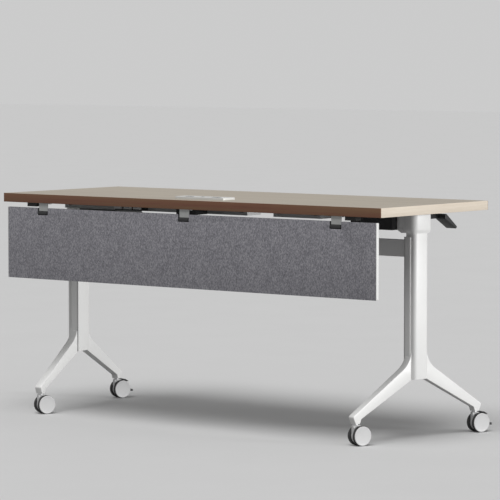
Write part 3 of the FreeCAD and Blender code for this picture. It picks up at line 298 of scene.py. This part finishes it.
def piece(name, shapes, body, finish, slot, *nodes):
    """One visual piece: the shapes in one mesh, faces outwards, smooth except across sharp creases."""
    points, faces, base = [], [], 0
    for shape_points, shape_faces in shapes:
        points.append(shape_points)
        faces += [[base + corner for corner in face] for face in shape_faces]
        base += len(shape_points)
    mesh = bpy.data.meshes.new(name)
    mesh.from_pydata(np.concatenate(points).tolist(), [], faces)
    work = bmesh.new()
    work.from_mesh(mesh)
    bmesh.ops.remove_doubles(work, verts=work.verts, dist=MERGE_GAP)
    bmesh.ops.recalc_face_normals(work, faces=work.faces)
    work.to_mesh(mesh)
    work.free()
    mesh.polygons.foreach_set("use_smooth", np.ones(len(mesh.polygons), bool))
    mesh.set_sharp_from_angle(angle=SHARP_ANGLE)
    thing = bpy.data.objects.new(name, mesh)
    bpy.context.scene.collection.objects.link(thing)
    mesh.materials.append(finish)
    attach(thing, body)
    if nodes:
        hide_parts(*nodes)
    return thing


class Link:
    """A socket with arithmetic: an expression on links adds the Math nodes that work it out."""

    def __init__(self, tree, socket):
        self.tree = tree
        self.socket = socket

    def maths(self, operation, *values):
        return self.tree.node("Math", {"operation": operation}, *values)

    def __add__(self, other):
        return self.maths("ADD", self, other)

    def __mul__(self, other):
        return self.maths("MULTIPLY", self, other)

    __radd__ = __add__
    __rmul__ = __mul__


class Tree:
    """A node tree that grows by one method."""

    def __init__(self, owner):
        owner.use_nodes = True
        self.nodes = owner.node_tree.nodes
        self.wires = owner.node_tree.links

    def node(self, kind, settings, *values, output=0, **named):
        """Adds a node: its settings first, then the values or links of its sockets, in order or by name."""
        made = self.nodes.new("ShaderNode" + kind)
        stops = settings.pop("stops", None)
        for setting, choice in settings.items():
            setattr(made, setting, choice)
        if stops:
            for number, (place, colour) in enumerate(stops):
                stop = made.color_ramp.elements[number] if number < 2 else made.color_ramp.elements.new(place)
                stop.position = place
                stop.color = (*colour, 1)
        for socket, value in [*enumerate(values), *named.items()]:
            target = made.inputs[socket.replace("_", " ") if isinstance(socket, str) else socket]
            if isinstance(value, Link):
                self.wires.new(value.socket, target)
            else:
                target.default_value = value
        return Link(self, made.outputs[output])

    def seen_directly(self):
        """1 for what the camera sees, mirrors and glass included, and 0 for light that falls on things."""
        camera, glossy, glass = (self.node("LightPath", {}, output=f"Is {kind} Ray")
                                 for kind in ("Camera", "Glossy", "Transmission"))
        return self.node("Math", {"operation": "MAXIMUM"}, camera,
                         self.node("Math", {"operation": "MAXIMUM"}, glossy, glass))


class Finish(Tree):
    """One procedural material; everything in it is placed by Object coordinates."""

    def __init__(self, name, roughness, **sockets):
        self.material = bpy.data.materials.new(name)
        super().__init__(self.material)
        self.shader = self.nodes["Principled BSDF"]
        self.shader.inputs["Roughness"].default_value = roughness
        for socket, number in sockets.items():
            self.shader.inputs[socket.replace("_", " ")].default_value = number
        self.places = self.node("TexCoord", {}, output="Object")

    def stretched(self, across, back, up):
        """Object coordinates in units of the pattern's cells along each axis."""
        return self.node("VectorMath", {"operation": "MULTIPLY"}, self.places, (across, back, up))

    def noise(self, places, scale=1.0, detail=3.0, roughness=0.55):
        """Fractal noise from 0 to 1."""
        return self.node("TexNoise", {}, Vector=places, Scale=scale, Detail=detail, Roughness=roughness)

    def blend(self, share, *colours):
        """A colour between evenly spaced ones, by a share from 0 to 1."""
        places = np.linspace(0, 1, len(colours)).tolist()
        first_and_last = [(0.0, colours[0]), (1.0, colours[-1])]
        between = list(zip(places[1:-1], colours[1:-1]))
        return self.node("ValToRGB", {"stops": first_and_last + between}, share)

    def spread(self, share, low, high):
        """Stretches the part of a share between low and high to 0 to 1."""
        return self.node("MapRange", {}, share, low, high, 0.0, 1.0)

    def colour(self, link):
        self.wires.new(link.socket, self.shader.inputs["Base Color"])
        return self

    def rough(self, link):
        self.wires.new(link.socket, self.shader.inputs["Roughness"])
        return self

    def bump(self, height, depth, strength):
        """Raises the surface by the height link times a depth in metres."""
        normal = self.node("Bump", {}, Strength=strength, Distance=depth, Height=height, output="Normal")
        self.wires.new(normal.socket, self.shader.inputs["Normal"])
        return self


def shade(colour, factor):
    """The colour darkened to a share of its light."""
    return tuple(part * factor for part in colour)


def coat(name, colour, roughness=0.38):
    """Powder coat: fine orange peel, faint cloudiness and slightly duller patches."""
    glossiest, uneven, cloud_shade = roughness - 0.05, 0.12, 0.965
    made = Finish(name, roughness, Coat_Weight=0.08, Coat_Roughness=0.25)
    peel = made.noise(made.places, scale=700.0, detail=2.0)
    cloud = made.noise(made.places, scale=9.0, detail=4.0)
    made.colour(made.blend(made.spread(cloud, low=0.3, high=0.7), shade(colour, cloud_shade), colour))
    made.rough(cloud * uneven + glossiest)
    return made.bump(peel, depth=0.00006, strength=0.6).material


def wood(name, tones, fine_share, roughness, cross=False):
    """Straight grain along the table, or across it: long streaks, finer pores and a faint drift of tone."""
    glossiest, uneven, drift_share, pore_relief = roughness - 0.08, 0.16, 0.25, 0.6
    streak_cells = (75.0, 1.6, 60.0) if cross else (1.6, 75.0, 60.0)
    pore_cells = (420.0, 7.0, 300.0) if cross else (7.0, 420.0, 300.0)
    made = Finish(name, roughness, Specular_IOR_Level=0.3)
    streaks = made.noise(made.stretched(*streak_cells), detail=5.0, roughness=0.6)
    pores = made.noise(made.stretched(*pore_cells), roughness=0.7)
    drift = made.noise(made.places, scale=2.3, detail=2.0)
    grain = made.spread(streaks * (1 - fine_share) + pores * fine_share, low=0.32, high=0.68)
    made.colour(made.blend(grain * (1 - drift_share) + drift * drift_share, *tones))
    made.rough(pores * uneven + glossiest)
    relief = pores * pore_relief + streaks * (1 - pore_relief)
    return made.bump(relief, depth=0.00008, strength=0.5).material


def felt(name, dark, middle, light):
    """Pressed heather felt: pale and dark fibres in flecks, a little taller than wide, over a soft mottle."""
    fleck_share, hair_share, mottle_share, hair_relief = 0.66, 0.24, 0.1, 0.6
    made = Finish(name, roughness=0.96, Sheen_Weight=0.1, Sheen_Roughness=0.6, Specular_IOR_Level=0.1)
    flecks = made.noise(made.stretched(300.0, 300.0, 150.0), roughness=0.75)
    hairs = made.noise(made.stretched(1100.0, 1100.0, 700.0), detail=2.0, roughness=0.6)
    mottle = made.noise(made.stretched(48.0, 48.0, 26.0), detail=4.0, roughness=0.6)
    fibres = flecks * fleck_share + hairs * hair_share + mottle * mottle_share
    made.colour(made.blend(made.spread(fibres, low=0.38, high=0.62), dark, middle, light))
    relief = hairs * hair_relief + flecks * (1 - hair_relief)
    return made.bump(relief, depth=0.0006, strength=0.8).material


def moulded(name, colour, roughness=0.5, grain=1400.0, depth=0.00004):
    """Moulded plastic: fine spark texture with a little unevenness in its gloss."""
    glossiest, spark_uneven, cloud_uneven, cloud_shade = roughness - 0.11, 0.12, 0.1, 0.93
    made = Finish(name, roughness)
    spark = made.noise(made.places, scale=grain, detail=2.0)
    cloud = made.noise(made.places, scale=14.0)
    made.colour(made.blend(made.spread(cloud, low=0.3, high=0.7), shade(colour, cloud_shade), colour))
    made.rough(spark * spark_uneven + cloud * cloud_uneven + glossiest)
    return made.bump(spark, depth, strength=0.6).material


def brushed(name, colour, roughness, cross=False, metallic=1.0):
    """Brushed or rolled metal: hairlines along the table, or across it, in tone, gloss and relief."""
    glossiest, line_uneven, smudge_uneven, line_shade = roughness - 0.12, 0.14, 0.1, 0.86
    line_cells = (1500.0, 12.0, 1500.0) if cross else (12.0, 1500.0, 1500.0)
    made = Finish(name, roughness, Metallic=metallic)
    lines = made.noise(made.stretched(*line_cells), roughness=0.6)
    smudge = made.noise(made.places, scale=30.0)
    made.colour(made.blend(made.spread(lines, low=0.25, high=0.75), shade(colour, line_shade), colour))
    made.rough(lines * line_uneven + smudge * smudge_uneven + glossiest)
    return made.bump(lines, depth=0.00002, strength=0.5).material


WHITE_COAT = coat("white_powder_coat", (0.83, 0.83, 0.82))
GREY_COAT = coat("grey_powder_coat", (0.50, 0.51, 0.50), roughness=0.42)
BLACK_COAT = coat("black_powder_coat", (0.010, 0.010, 0.011), roughness=0.5)
LAMINATE = wood("greige_laminate", [(0.33, 0.285, 0.225), (0.41, 0.36, 0.29), (0.49, 0.44, 0.365)],
                fine_share=0.45, roughness=0.5)
# Painted shade: the long edge bands are coloured dark brown for the shade on the front edge; all bands are
# one edge band.
LONG_BAND_PAINTED_SHADE = wood("edge_band_painted_shade", [(0.103, 0.041, 0.026), (0.182, 0.080, 0.049), (0.186, 0.104, 0.057),
                                       (0.265, 0.123, 0.078)], fine_share=0.35, roughness=0.5)
# Painted light: the end bands are coloured pale cream for the light falling on the table's ends.
END_BAND_PAINTED_LIGHT = wood("edge_band_painted_light", [(0.60, 0.52, 0.415), (0.69, 0.61, 0.51), (0.765, 0.70, 0.595)],
                fine_share=0.4, roughness=0.5, cross=True)
BACKING = moulded("backing_laminate", (0.40, 0.385, 0.36), roughness=0.6, grain=900.0)
RAW_BOARD = wood("pressed_board", [(0.33, 0.23, 0.14), (0.52, 0.39, 0.26)], fine_share=0.8, roughness=0.8)
PANEL_CORE = moulded("dark_panel_core", (0.045, 0.045, 0.048), roughness=0.8, grain=500.0)
GREY_FELT = felt("heather_felt", (0.152, 0.150, 0.168), (0.270, 0.265, 0.292), (0.45, 0.44, 0.47))
BLACK_PLASTIC = moulded("black_moulded_plastic", (0.014, 0.014, 0.015))
WHITE_PLASTIC = moulded("white_moulded_plastic", (0.84, 0.84, 0.83), roughness=0.42)
DISC_PLASTIC = moulded("pale_disc_plastic", (0.595, 0.595, 0.595), roughness=0.4)
HOOD_PLASTIC = moulded("grey_hood_plastic", (0.60, 0.60, 0.60), roughness=0.45)
TREAD_RUBBER = moulded("dark_tread_rubber", (0.035, 0.034, 0.034), roughness=0.72, grain=500.0, depth=0.0001)
BUMPER_RUBBER = moulded("black_bumper_rubber", (0.018, 0.018, 0.018), roughness=0.78, grain=420.0,
                        depth=0.00012)
ZINC = brushed("zinc_plated_steel", (0.60, 0.60, 0.61), roughness=0.36)
ALUMINIUM = brushed("satin_aluminium", (0.72, 0.72, 0.70), roughness=0.45, metallic=0.3)
BRIGHT_STEEL = brushed("bright_bracket_steel", (0.90, 0.90, 0.90), roughness=0.34, cross=True)

NODE_FINISHES = {
    "worktop_core": RAW_BOARD, "top_laminate": LAMINATE, "underside_sheet": BACKING,
    "power_sockets": BLACK_PLASTIC, "power_wiring_box": BLACK_PLASTIC, "infeed_block": BLACK_PLASTIC,
    "infeed_connectors": WHITE_PLASTIC, "cable_tray_long": GREY_COAT, "cable_tray_short": GREY_COAT,
    "tray_brackets": BRIGHT_STEEL, "nesting_bumpers": BUMPER_RUBBER, "tilt_housing_right": BLACK_COAT,
    "tilt_housing_left": BLACK_COAT, "underside_screws": ZINC, "beam_screws": ZINC, "lever_pins": ZINC,
    "lever_arm_right": ZINC, "lever_arm_left": ZINC, "hinge_straps": GREY_COAT, "hinge_barrels": BLACK_COAT,
    "hinge_pins": ZINC, "pivot_pins": ZINC, "lock_plates": ZINC, "castor_stems": ZINC,
    "stretcher_beam": WHITE_COAT, "panel_board": PANEL_CORE,
}


def dress_nodes():
    """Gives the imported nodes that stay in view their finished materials."""
    finishes = dict(NODE_FINISHES)
    for corner in CORNERS:
        finishes[f"castor_{corner}_axle"] = ZINC
        finishes[f"castor_{corner}_hood"] = HOOD_PLASTIC
        if f"castor_{corner}_brake_pedal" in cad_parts:
            finishes[f"castor_{corner}_brake_pedal"] = BLACK_PLASTIC
    for node, finish in finishes.items():
        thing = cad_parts[node]
        for slot in thing.material_slots:
            slot.material = finish


def leg(side):
    """Cast Y frame with eased edges; its thickness falls off evenly along the feet."""
    half = [(STEM_HALF, STEM_TOP, LEAST_ARC), (STEM_HALF, KNEE_HEIGHT, KNEE_RADIUS),
            (FOOT_REACH, FOOT_TIP, FOOT_ROUND), (CASTOR_SPAN + FOOT_NECK, FOOT_BASE, CAST_EASE),
            (CASTOR_SPAN - FOOT_NECK, FOOT_BASE, CAST_EASE),
            (CASTOR_SPAN - FOOT_STEP_IN, FOOT_STEP, STEP_ROUND), (CROTCH_HALF, CROTCH_HEIGHT, CROTCH_ROUND)]
    corners = half + [(-along, up, radius) for along, up, radius in reversed(half)]

    def taper(along, up, outward):
        share = np.clip((np.abs(along) - STEM_HALF) / (FOOT_REACH - STEM_HALF), 0, 1)
        return outward * (1 - share * (1 - TIP_THICK / FRAME_THICK))

    shape = eased_plate([corner[:2] for corner in corners], np.array([corner[2] for corner in corners]),
                        -FRAME_THICK / 2, FRAME_THICK / 2, CAST_EASE, leg_place(side), taper)
    piece(f"cast_leg_{side}", [shape], "base", WHITE_COAT, "white_coat", f"leg_frame_{side}")


def column_cover(side):
    """Upright plates: outer profile with two round corners, and inner cover with a lip round the front."""
    def upright(low, high, front, rear, radii, bottom, top, ease):
        place = leg_place(side)
        return eased_plate([(low, front), (high, front), (high, rear), (low, rear)], radii, bottom, top, ease,
                           lambda out, along, up: place(along, up, out))

    face = FRAME_THICK / 2
    outer = upright(face, face + PROFILE_THICK, -PROFILE_FRONT, PROFILE_REAR,
                    np.array([PLATE_EASE, PROFILE_ROUND, PROFILE_ROUND, PLATE_EASE]), CROTCH_HEIGHT, STEM_TOP,
                    PLATE_EASE)
    piece(f"column_profile_{side}", [outer], "base", WHITE_COAT, "white_coat", f"outer_profile_{side}")
    inner = upright(-face - COVER_THICK, -face, -COVER_FRONT, COVER_REAR,
                    np.array([COVER_ROUND, PLATE_EASE, PLATE_EASE, COVER_ROUND]), CROTCH_HEIGHT, COVER_TOP,
                    PLATE_EASE)
    lip = upright(-face - COVER_THICK, LIP_REACH, -COVER_FRONT, -STEM_HALF,
                  np.array([COVER_ROUND, COVER_ROUND, PLATE_EASE, PLATE_EASE]), CROTCH_HEIGHT, COVER_TOP,
                  PLATE_EASE)
    piece(f"column_cover_{side}", [inner, lip], "base", WHITE_COAT, "white_coat", f"inner_cover_{side}")


def head(side):
    """Head casting: a boss that swells from the column by a power of a quarter sine wave, then the inboard
    block, the gusset under it and the ear round the pivot."""
    place = leg_place(side)
    over = across_place(SIDES[side])
    low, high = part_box("column_head_right")
    inner, top = low[0], high[2]
    outer = LEG_X - HEAD_INNER
    levels = np.append(STEM_TOP + HEAD_TAPER * np.linspace(0, 1, BOSS_STEPS), [top - TOP_STEP, top])
    shares = np.append(np.sin(np.linspace(0, math.pi / 2, BOSS_STEPS)) ** SWELL_POWER, [1, TOP_SHARE])
    rings = []
    for level, share in zip(levels, shares):
        half, reach, corner = (small + (large - small) * share for small, large in (
            (NECK_HALF, BOSS_HALF), (NECK_OUTER, BOSS_OUTER), (PROFILE_ROUND, BOSS_ROUND)))
        ring = outline([(-HEAD_INNER, -half), (reach, -half), (reach, half), (-HEAD_INNER, half)],
                       [LEAST_ARC, corner, corner, LEAST_ARC])
        rings.append(np.column_stack([ring, np.full(len(ring), level)]))
    boss = stacked(rings, lambda out, along, up: place(along, up, out))
    block = eased_plate([(-BLOCK_HALF, BLOCK_FLOOR), (BLOCK_HALF, BLOCK_FLOOR), (BLOCK_HALF, top),
                         (-BLOCK_HALF, top)], np.array([BLOCK_ROUND, BLOCK_ROUND, LEAST_ARC, LEAST_ARC]),
                        inner, outer, BLOCK_EASE, over)
    gusset_outer, gusset_top = LEG_X - GUSSET_INSET, BLOCK_FLOOR + GUSSET_RISE
    gusset = eased_plate([(inner, BLOCK_FLOOR), (inner + GUSSET_SLOPE, STEM_TOP), (gusset_outer, STEM_TOP),
                          (gusset_outer, gusset_top), (inner, gusset_top)], GUSSET_ROUND, -BLOCK_HALF,
                         BLOCK_HALF, GUSSET_EASE,
                         lambda along, up, back: front_place(SIDES[side] * along, up, back))
    ear = turned([(EAR_RADIUS - 3 * EAR_EASE, inner), (EAR_RADIUS - EAR_EASE / 2, inner + EAR_EASE / 5),
                  (EAR_RADIUS, inner + EAR_EASE), (EAR_RADIUS, outer - EAR_SINK)],
                 lambda along, back, up: flat_place(SIDES[side] * along, back, up), PIVOT)
    piece(f"head_casting_{side}", [boss, block, gusset, ear], "base", WHITE_COAT, "white_coat",
          f"column_head_{side}")


def paddle(side):
    """Release paddle: a bent plate with soft edges, its grip sleeve round the lever plate."""
    low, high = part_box("lever_paddle_right")
    arm_low, arm_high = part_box("lever_arm_right")
    middle = (arm_low[0] + arm_high[0]) / 2
    over = across_place(SIDES[side])
    grip_half, grip_height, grip_round, grip_ease = 7.5 * MM, 16 * MM, 3 * MM, 2.5 * MM
    root, thick, blade_width, blade_ease = 200 * MM, 8 * MM, 40 * MM, 1.8 * MM
    top = high[2]
    grip = eased_plate([(low[1], top - grip_height), (root + thick / 2, top - grip_height),
                        (root + thick / 2, top), (low[1], top)], grip_round, middle - grip_half,
                       middle + grip_half, grip_ease, over)
    bend = [(root, top - grip_height), (root, top), (root + thick, top), (high[1], low[2] + thick),
            (high[1], low[2] + thick / 2), (high[1] - thick / 2, low[2])]
    bend_rounds = np.array([4, 1.5, 4, 1.5, 1.2, 2]) * MM
    blade = eased_plate(bend, bend_rounds, high[0] - blade_width, high[0], blade_ease, over)
    piece(f"release_paddle_{side}", [grip, blade], f"lever_{side}", BLACK_PLASTIC, "black_plastic",
          f"lever_paddle_{side}")


def panel_faces():
    """Felt faces of the modesty panel: plates with three hinge notches and softly pressed edges."""
    low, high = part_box("panel_felt_front")
    barrel_low, barrel_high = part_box("hinge_barrels")
    strap_half, side_gap, notch_below = 20 * MM, 3 * MM, 0.4 * MM
    corner_round, pressed = 0.6 * MM, 0.55 * MM
    notch_half = strap_half + side_gap
    notch_floor = barrel_low[2] - notch_below
    pitch = barrel_high[0] - strap_half
    notches = (pitch, 0.0, -pitch)
    corners = [(low[0], low[2]), (high[0], low[2]), (high[0], high[2])]
    for middle in notches:
        corners += [(middle + notch_half, high[2]), (middle + notch_half, notch_floor),
                    (middle - notch_half, notch_floor), (middle - notch_half, high[2])]
    corners.append((low[0], high[2]))
    for face in ("front", "rear"):
        low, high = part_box(f"panel_felt_{face}")
        sheet = eased_plate(corners, corner_round, low[1], high[1], pressed, front_place)
        felted = piece(f"felt_face_{face}", [sheet], "modesty_panel", GREY_FELT, "felt", f"panel_felt_{face}")


def end_trims():
    """End trims of the panel: thin white strips, rounded at their outer corners and along their edges."""
    low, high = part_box("panel_end_trims")
    thick, corner_round, ease = 3 * MM, 2.6 * MM, 0.8 * MM
    shapes = []
    for side in SIDES.values():
        shapes.append(eased_plate([(side * (high[0] - thick), low[2]), (side * high[0], low[2]),
                                   (side * high[0], high[2]), (side * (high[0] - thick), high[2])],
                                  np.array([LEAST_ARC, corner_round, corner_round, LEAST_ARC]),
                                  low[1], high[1], ease, front_place))
    piece("rounded_end_trims", shapes, "modesty_panel", WHITE_PLASTIC, "white_plastic", "panel_end_trims")


def edge_bands():
    """Edge bands with arrises eased by under a millimetre."""
    low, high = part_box("edge_bands_long")
    thick, ease, corner_round, inner_round = 2 * MM, 0.7 * MM, 1.2 * MM, 0.1 * MM
    long_rounds = np.array([corner_round, corner_round, inner_round, inner_round])
    long_bands, short_bands = [], []
    for side in (-1, 1):
        outer = low[1] if side < 0 else high[1]
        inner = outer - side * thick
        long_bands.append(eased_plate([(low[0], outer), (high[0], outer), (high[0], inner), (low[0], inner)],
                                      long_rounds, low[2], high[2], ease, flat_place))
        short_bands.append(eased_plate(
            [(side * high[0], low[1] + thick), (side * high[0], high[1] - thick),
             (side * (high[0] - thick), high[1] - thick), (side * (high[0] - thick), low[1] + thick)],
            inner_round, low[2], high[2], ease, flat_place))
    # The long bands take the painted-shade copy of the edge band, the short end bands the painted-light copy.
    piece("long_edge_bands", long_bands, "top", LONG_BAND_PAINTED_SHADE, "edge_wood", "edge_bands_long")
    piece("short_edge_bands", short_bands, "top", END_BAND_PAINTED_LIGHT, "edge_wood", "edge_bands_short")


def frame_ring(outer, inner, bottom, top, ease, place):
    """A frame between two closed outlines of equal counts: a quarter circle rounds its outer arris, and its
    inner one is chamfered."""
    angle = np.linspace(0, math.pi / 2, ARRIS_STEPS + 1)
    levels = [(outer, 0.0, bottom)]
    levels += [(outer, ease * (1 - math.cos(turn)), top - ease * (1 - math.sin(turn))) for turn in angle]
    levels += [(inner, -ease / 2, top), (inner, 0.0, top - ease / 2), (inner, 0.0, bottom),
               (outer, 0.0, bottom)]
    rings = np.asarray([np.column_stack([ring + inward(ring) * inset, np.full(len(ring), level)])
                        for ring, inset, level in levels])
    points = place(rings[..., 0], rings[..., 1], rings[..., 2])
    return points.reshape(-1, 3), ring_faces(len(rings), rings.shape[1])


def rectangle(centre, half_length, half_depth, radius):
    """A rounded rectangle's closed outline about a centre."""
    x, y = centre
    return outline([(x - half_length, y - half_depth), (x + half_length, y - half_depth),
                    (x + half_length, y + half_depth), (x - half_length, y + half_depth)], radius)


def power_module():
    """Aluminium bezel of the power module: a frame with a rounded outer arris round the window."""
    low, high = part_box("power_bezel")
    rim, outer_round, window_round, arris = 13 * MM, 4 * MM, 0.8 * MM, 1.4 * MM
    centre = ((low[0] + high[0]) / 2, (low[1] + high[1]) / 2)
    half_length, half_depth = (high[0] - low[0]) / 2, (high[1] - low[1]) / 2
    outer = rectangle(centre, half_length, half_depth, outer_round)
    inner = rectangle(centre, half_length - rim, half_depth - rim, window_round)
    ring = frame_ring(outer, inner, low[2], high[2], arris, flat_place)
    piece("module_bezel", [ring], "top", ALUMINIUM, "module_metal", "power_bezel")


def socket_details():
    """Inserts with round wells and pin sleeves in both sockets, and a slotted plate round each data port."""
    low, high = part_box("power_sockets")
    face = high[2]
    middle = (low[1] + high[1]) / 2
    pitch, shift, well_depth, proud = 44 * MM, 8 * MM, 1.6 * MM, 0.5 * MM
    insert_half, insert_round, insert_arris, well_radius = 14.8 * MM, 2 * MM, 0.5 * MM, 12.6 * MM
    sleeve_out, sleeve_radius, sleeve_rise, mouth_share = 6 * MM, 3 * MM, 1 * MM, 0.8
    port_x, port_out, port_arris = 83 * MM, 8 * MM, 0.3 * MM
    plate_size, slot_size = (11.5 * MM, 7.9 * MM, 1.2 * MM), (6.4 * MM, 2.2 * MM, 0.6 * MM)
    floor = face - well_depth
    inserts, sleeves, plates = [], [], []

    def upright(along, back, up):
        return flat_place(back, up, along)

    for side in (-1, 1):
        centre = (side * pitch / 2 - shift, middle)
        inserts.append(frame_ring(rectangle(centre, insert_half, insert_half, insert_round),
                                  rectangle(centre, well_radius, well_radius, well_radius - LEAST_ARC),
                                  floor, face + proud / 2, insert_arris, flat_place))
        for pin in (-1, 1):
            sleeves.append(turned([(sleeve_radius / 2, floor), (sleeve_radius / 2, floor + sleeve_rise / 2),
                                   (sleeve_radius * mouth_share, floor + sleeve_rise),
                                   (sleeve_radius, floor + sleeve_rise / 2), (sleeve_radius, floor)], upright,
                                  (centre[0] + pin * sleeve_out, centre[1])))
        port = (port_x, middle + side * port_out)
        plates.append(frame_ring(rectangle(port, *plate_size), rectangle(port, *slot_size),
                                 face, face + proud, port_arris, flat_place))
    piece("socket_inserts", inserts, "top", WHITE_PLASTIC, "white_plastic")
    piece("socket_sleeves", sleeves, "top", BRIGHT_STEEL, "bright_metal")
    piece("port_plates", plates, "top", WHITE_PLASTIC, "white_plastic")


def below_face(points, face, inwards):
    """Wheel outline points as (radius, along the axle): each depth goes from the face into the wheel."""
    return [(radius * MM, face + inwards * depth * MM) for radius, depth in points]


def castor(corner):
    """Twin wheels of a castor: treads with rounded shoulders, and hub discs dished by the radius squared."""
    place = castor_place(corner)
    name = f"castor_{corner}"
    centre = (CASTOR_TRAIL, WHEEL_RADIUS)
    outer = WHEEL_INNER + WHEEL_WIDTH
    tread = below_face(TREAD_INNER, WHEEL_INNER, 1) + below_face(TREAD_OUTER, outer, -1)
    radius = np.linspace(0, DISC_RADIUS, DISC_STEPS + 1)[1:]
    crown = outer - DISC_DEPTH + DISC_DISH * (radius / DISC_RADIUS) ** 2
    disc = [(DISC_CENTRE, outer - DISC_DEPTH), *zip(radius, crown), *below_face(DISC_RIM, outer, -1)]
    treads, discs = [], []
    for side in (-1, 1):
        def wheel_place(along, back, up, side=side):
            return place(side * along, back, up)
        treads.append(turned(tread, wheel_place, centre))
        discs.append(turned(disc, wheel_place, centre))
    body = f"wheels_{corner}"
    piece(f"{name}_rounded_treads", treads, body, TREAD_RUBBER, "castor_tread", f"{name}_tyres")
    piece(f"{name}_dished_discs", discs, body, DISC_PLASTIC, "white_plastic", f"{name}_hub_discs")


def sun(name, level, turn, spread):
    """A distant lamp: its level, its turn in degrees about X, Y and Z, and its spread in degrees."""
    light = bpy.data.lights.new(name, "SUN")
    light.energy = math.pi * level
    light.angle = math.radians(spread)
    lamp = bpy.data.objects.new(name, light)
    lamp.rotation_euler = [math.radians(part) for part in turn]
    bpy.context.scene.collection.objects.link(lamp)


def backdrop_and_lamps():
    """Pale backdrop, two low lamps from the right and one overhead."""
    world = bpy.data.worlds.new("studio")
    bpy.context.scene.world = world
    sky = Tree(world)
    backdrop = sky.nodes["Background"]
    backdrop.inputs["Color"].default_value = (1.0, 1.0, 1.0, 1)
    level = sky.seen_directly() * (BACKDROP_LEVEL - AMBIENT_LEVEL) + AMBIENT_LEVEL
    sky.wires.new(level.socket, backdrop.inputs["Strength"])
    for name, (share, turn) in SIDE_LAMPS.items():
        sun(name, SIDE_LEVEL * share, turn, SIDE_SPREAD)
    sun("overhead_lamp", OVERHEAD_LEVEL, OVERHEAD_TURN, OVERHEAD_SPREAD)


def studio_floor():
    """Pale floor, a little cloudy: the camera sees its full tone, and it throws less light back."""
    floor_mesh = bpy.data.meshes.new("studio_floor")
    span = (-FLOOR_HALF, FLOOR_HALF)
    floor_mesh.from_pydata([(x, y, 0.0) for y in span for x in span], [], [(0, 1, 3, 2)])
    floor = bpy.data.objects.new("studio_floor", floor_mesh)
    bpy.context.scene.collection.objects.link(floor)
    ground = Finish("pale_floor", roughness=0.9, Specular_IOR_Level=0.0)
    dust = ground.noise(ground.places, scale=3.0)
    pale = ground.seen_directly() * (FLOOR_COLOUR - FLOOR_BOUNCE) + FLOOR_BOUNCE
    cloudy = pale * (dust * FLOOR_CLOUD + (1 - FLOOR_CLOUD / 2))
    ground.colour(ground.blend(cloudy, (0.0, 0.0, 0.0), (1.0, 1.0, 1.0)))
    floor_mesh.materials.append(ground.material)


def photograph_camera():
    """The photograph's camera: in front to the right, half a metre above the top, looking slightly down."""
    camera = bpy.data.cameras.new("photograph")
    camera.sensor_width = SENSOR_WIDTH
    camera.lens = SENSOR_WIDTH * FOCAL_PIXELS / FRAME_PIXELS
    camera.clip_end = CAMERA_REACH
    viewer = bpy.data.objects.new("photograph", camera)
    viewer.location = CAMERA_PLACE
    viewer.rotation_euler = (math.radians(90 - CAMERA_DOWN), 0, math.radians(CAMERA_TURN))
    bpy.context.scene.collection.objects.link(viewer)
    bpy.context.scene.camera = viewer
    bpy.context.scene.view_settings.view_transform = "Standard"


dress_nodes()
for leg_side in SIDES:
    leg(leg_side)
    column_cover(leg_side)
    head(leg_side)
    paddle(leg_side)
panel_faces()
end_trims()
edge_bands()
power_module()
socket_details()
for castor_corner in CORNERS:
    castor(castor_corner)
backdrop_and_lamps()
studio_floor()
photograph_camera()
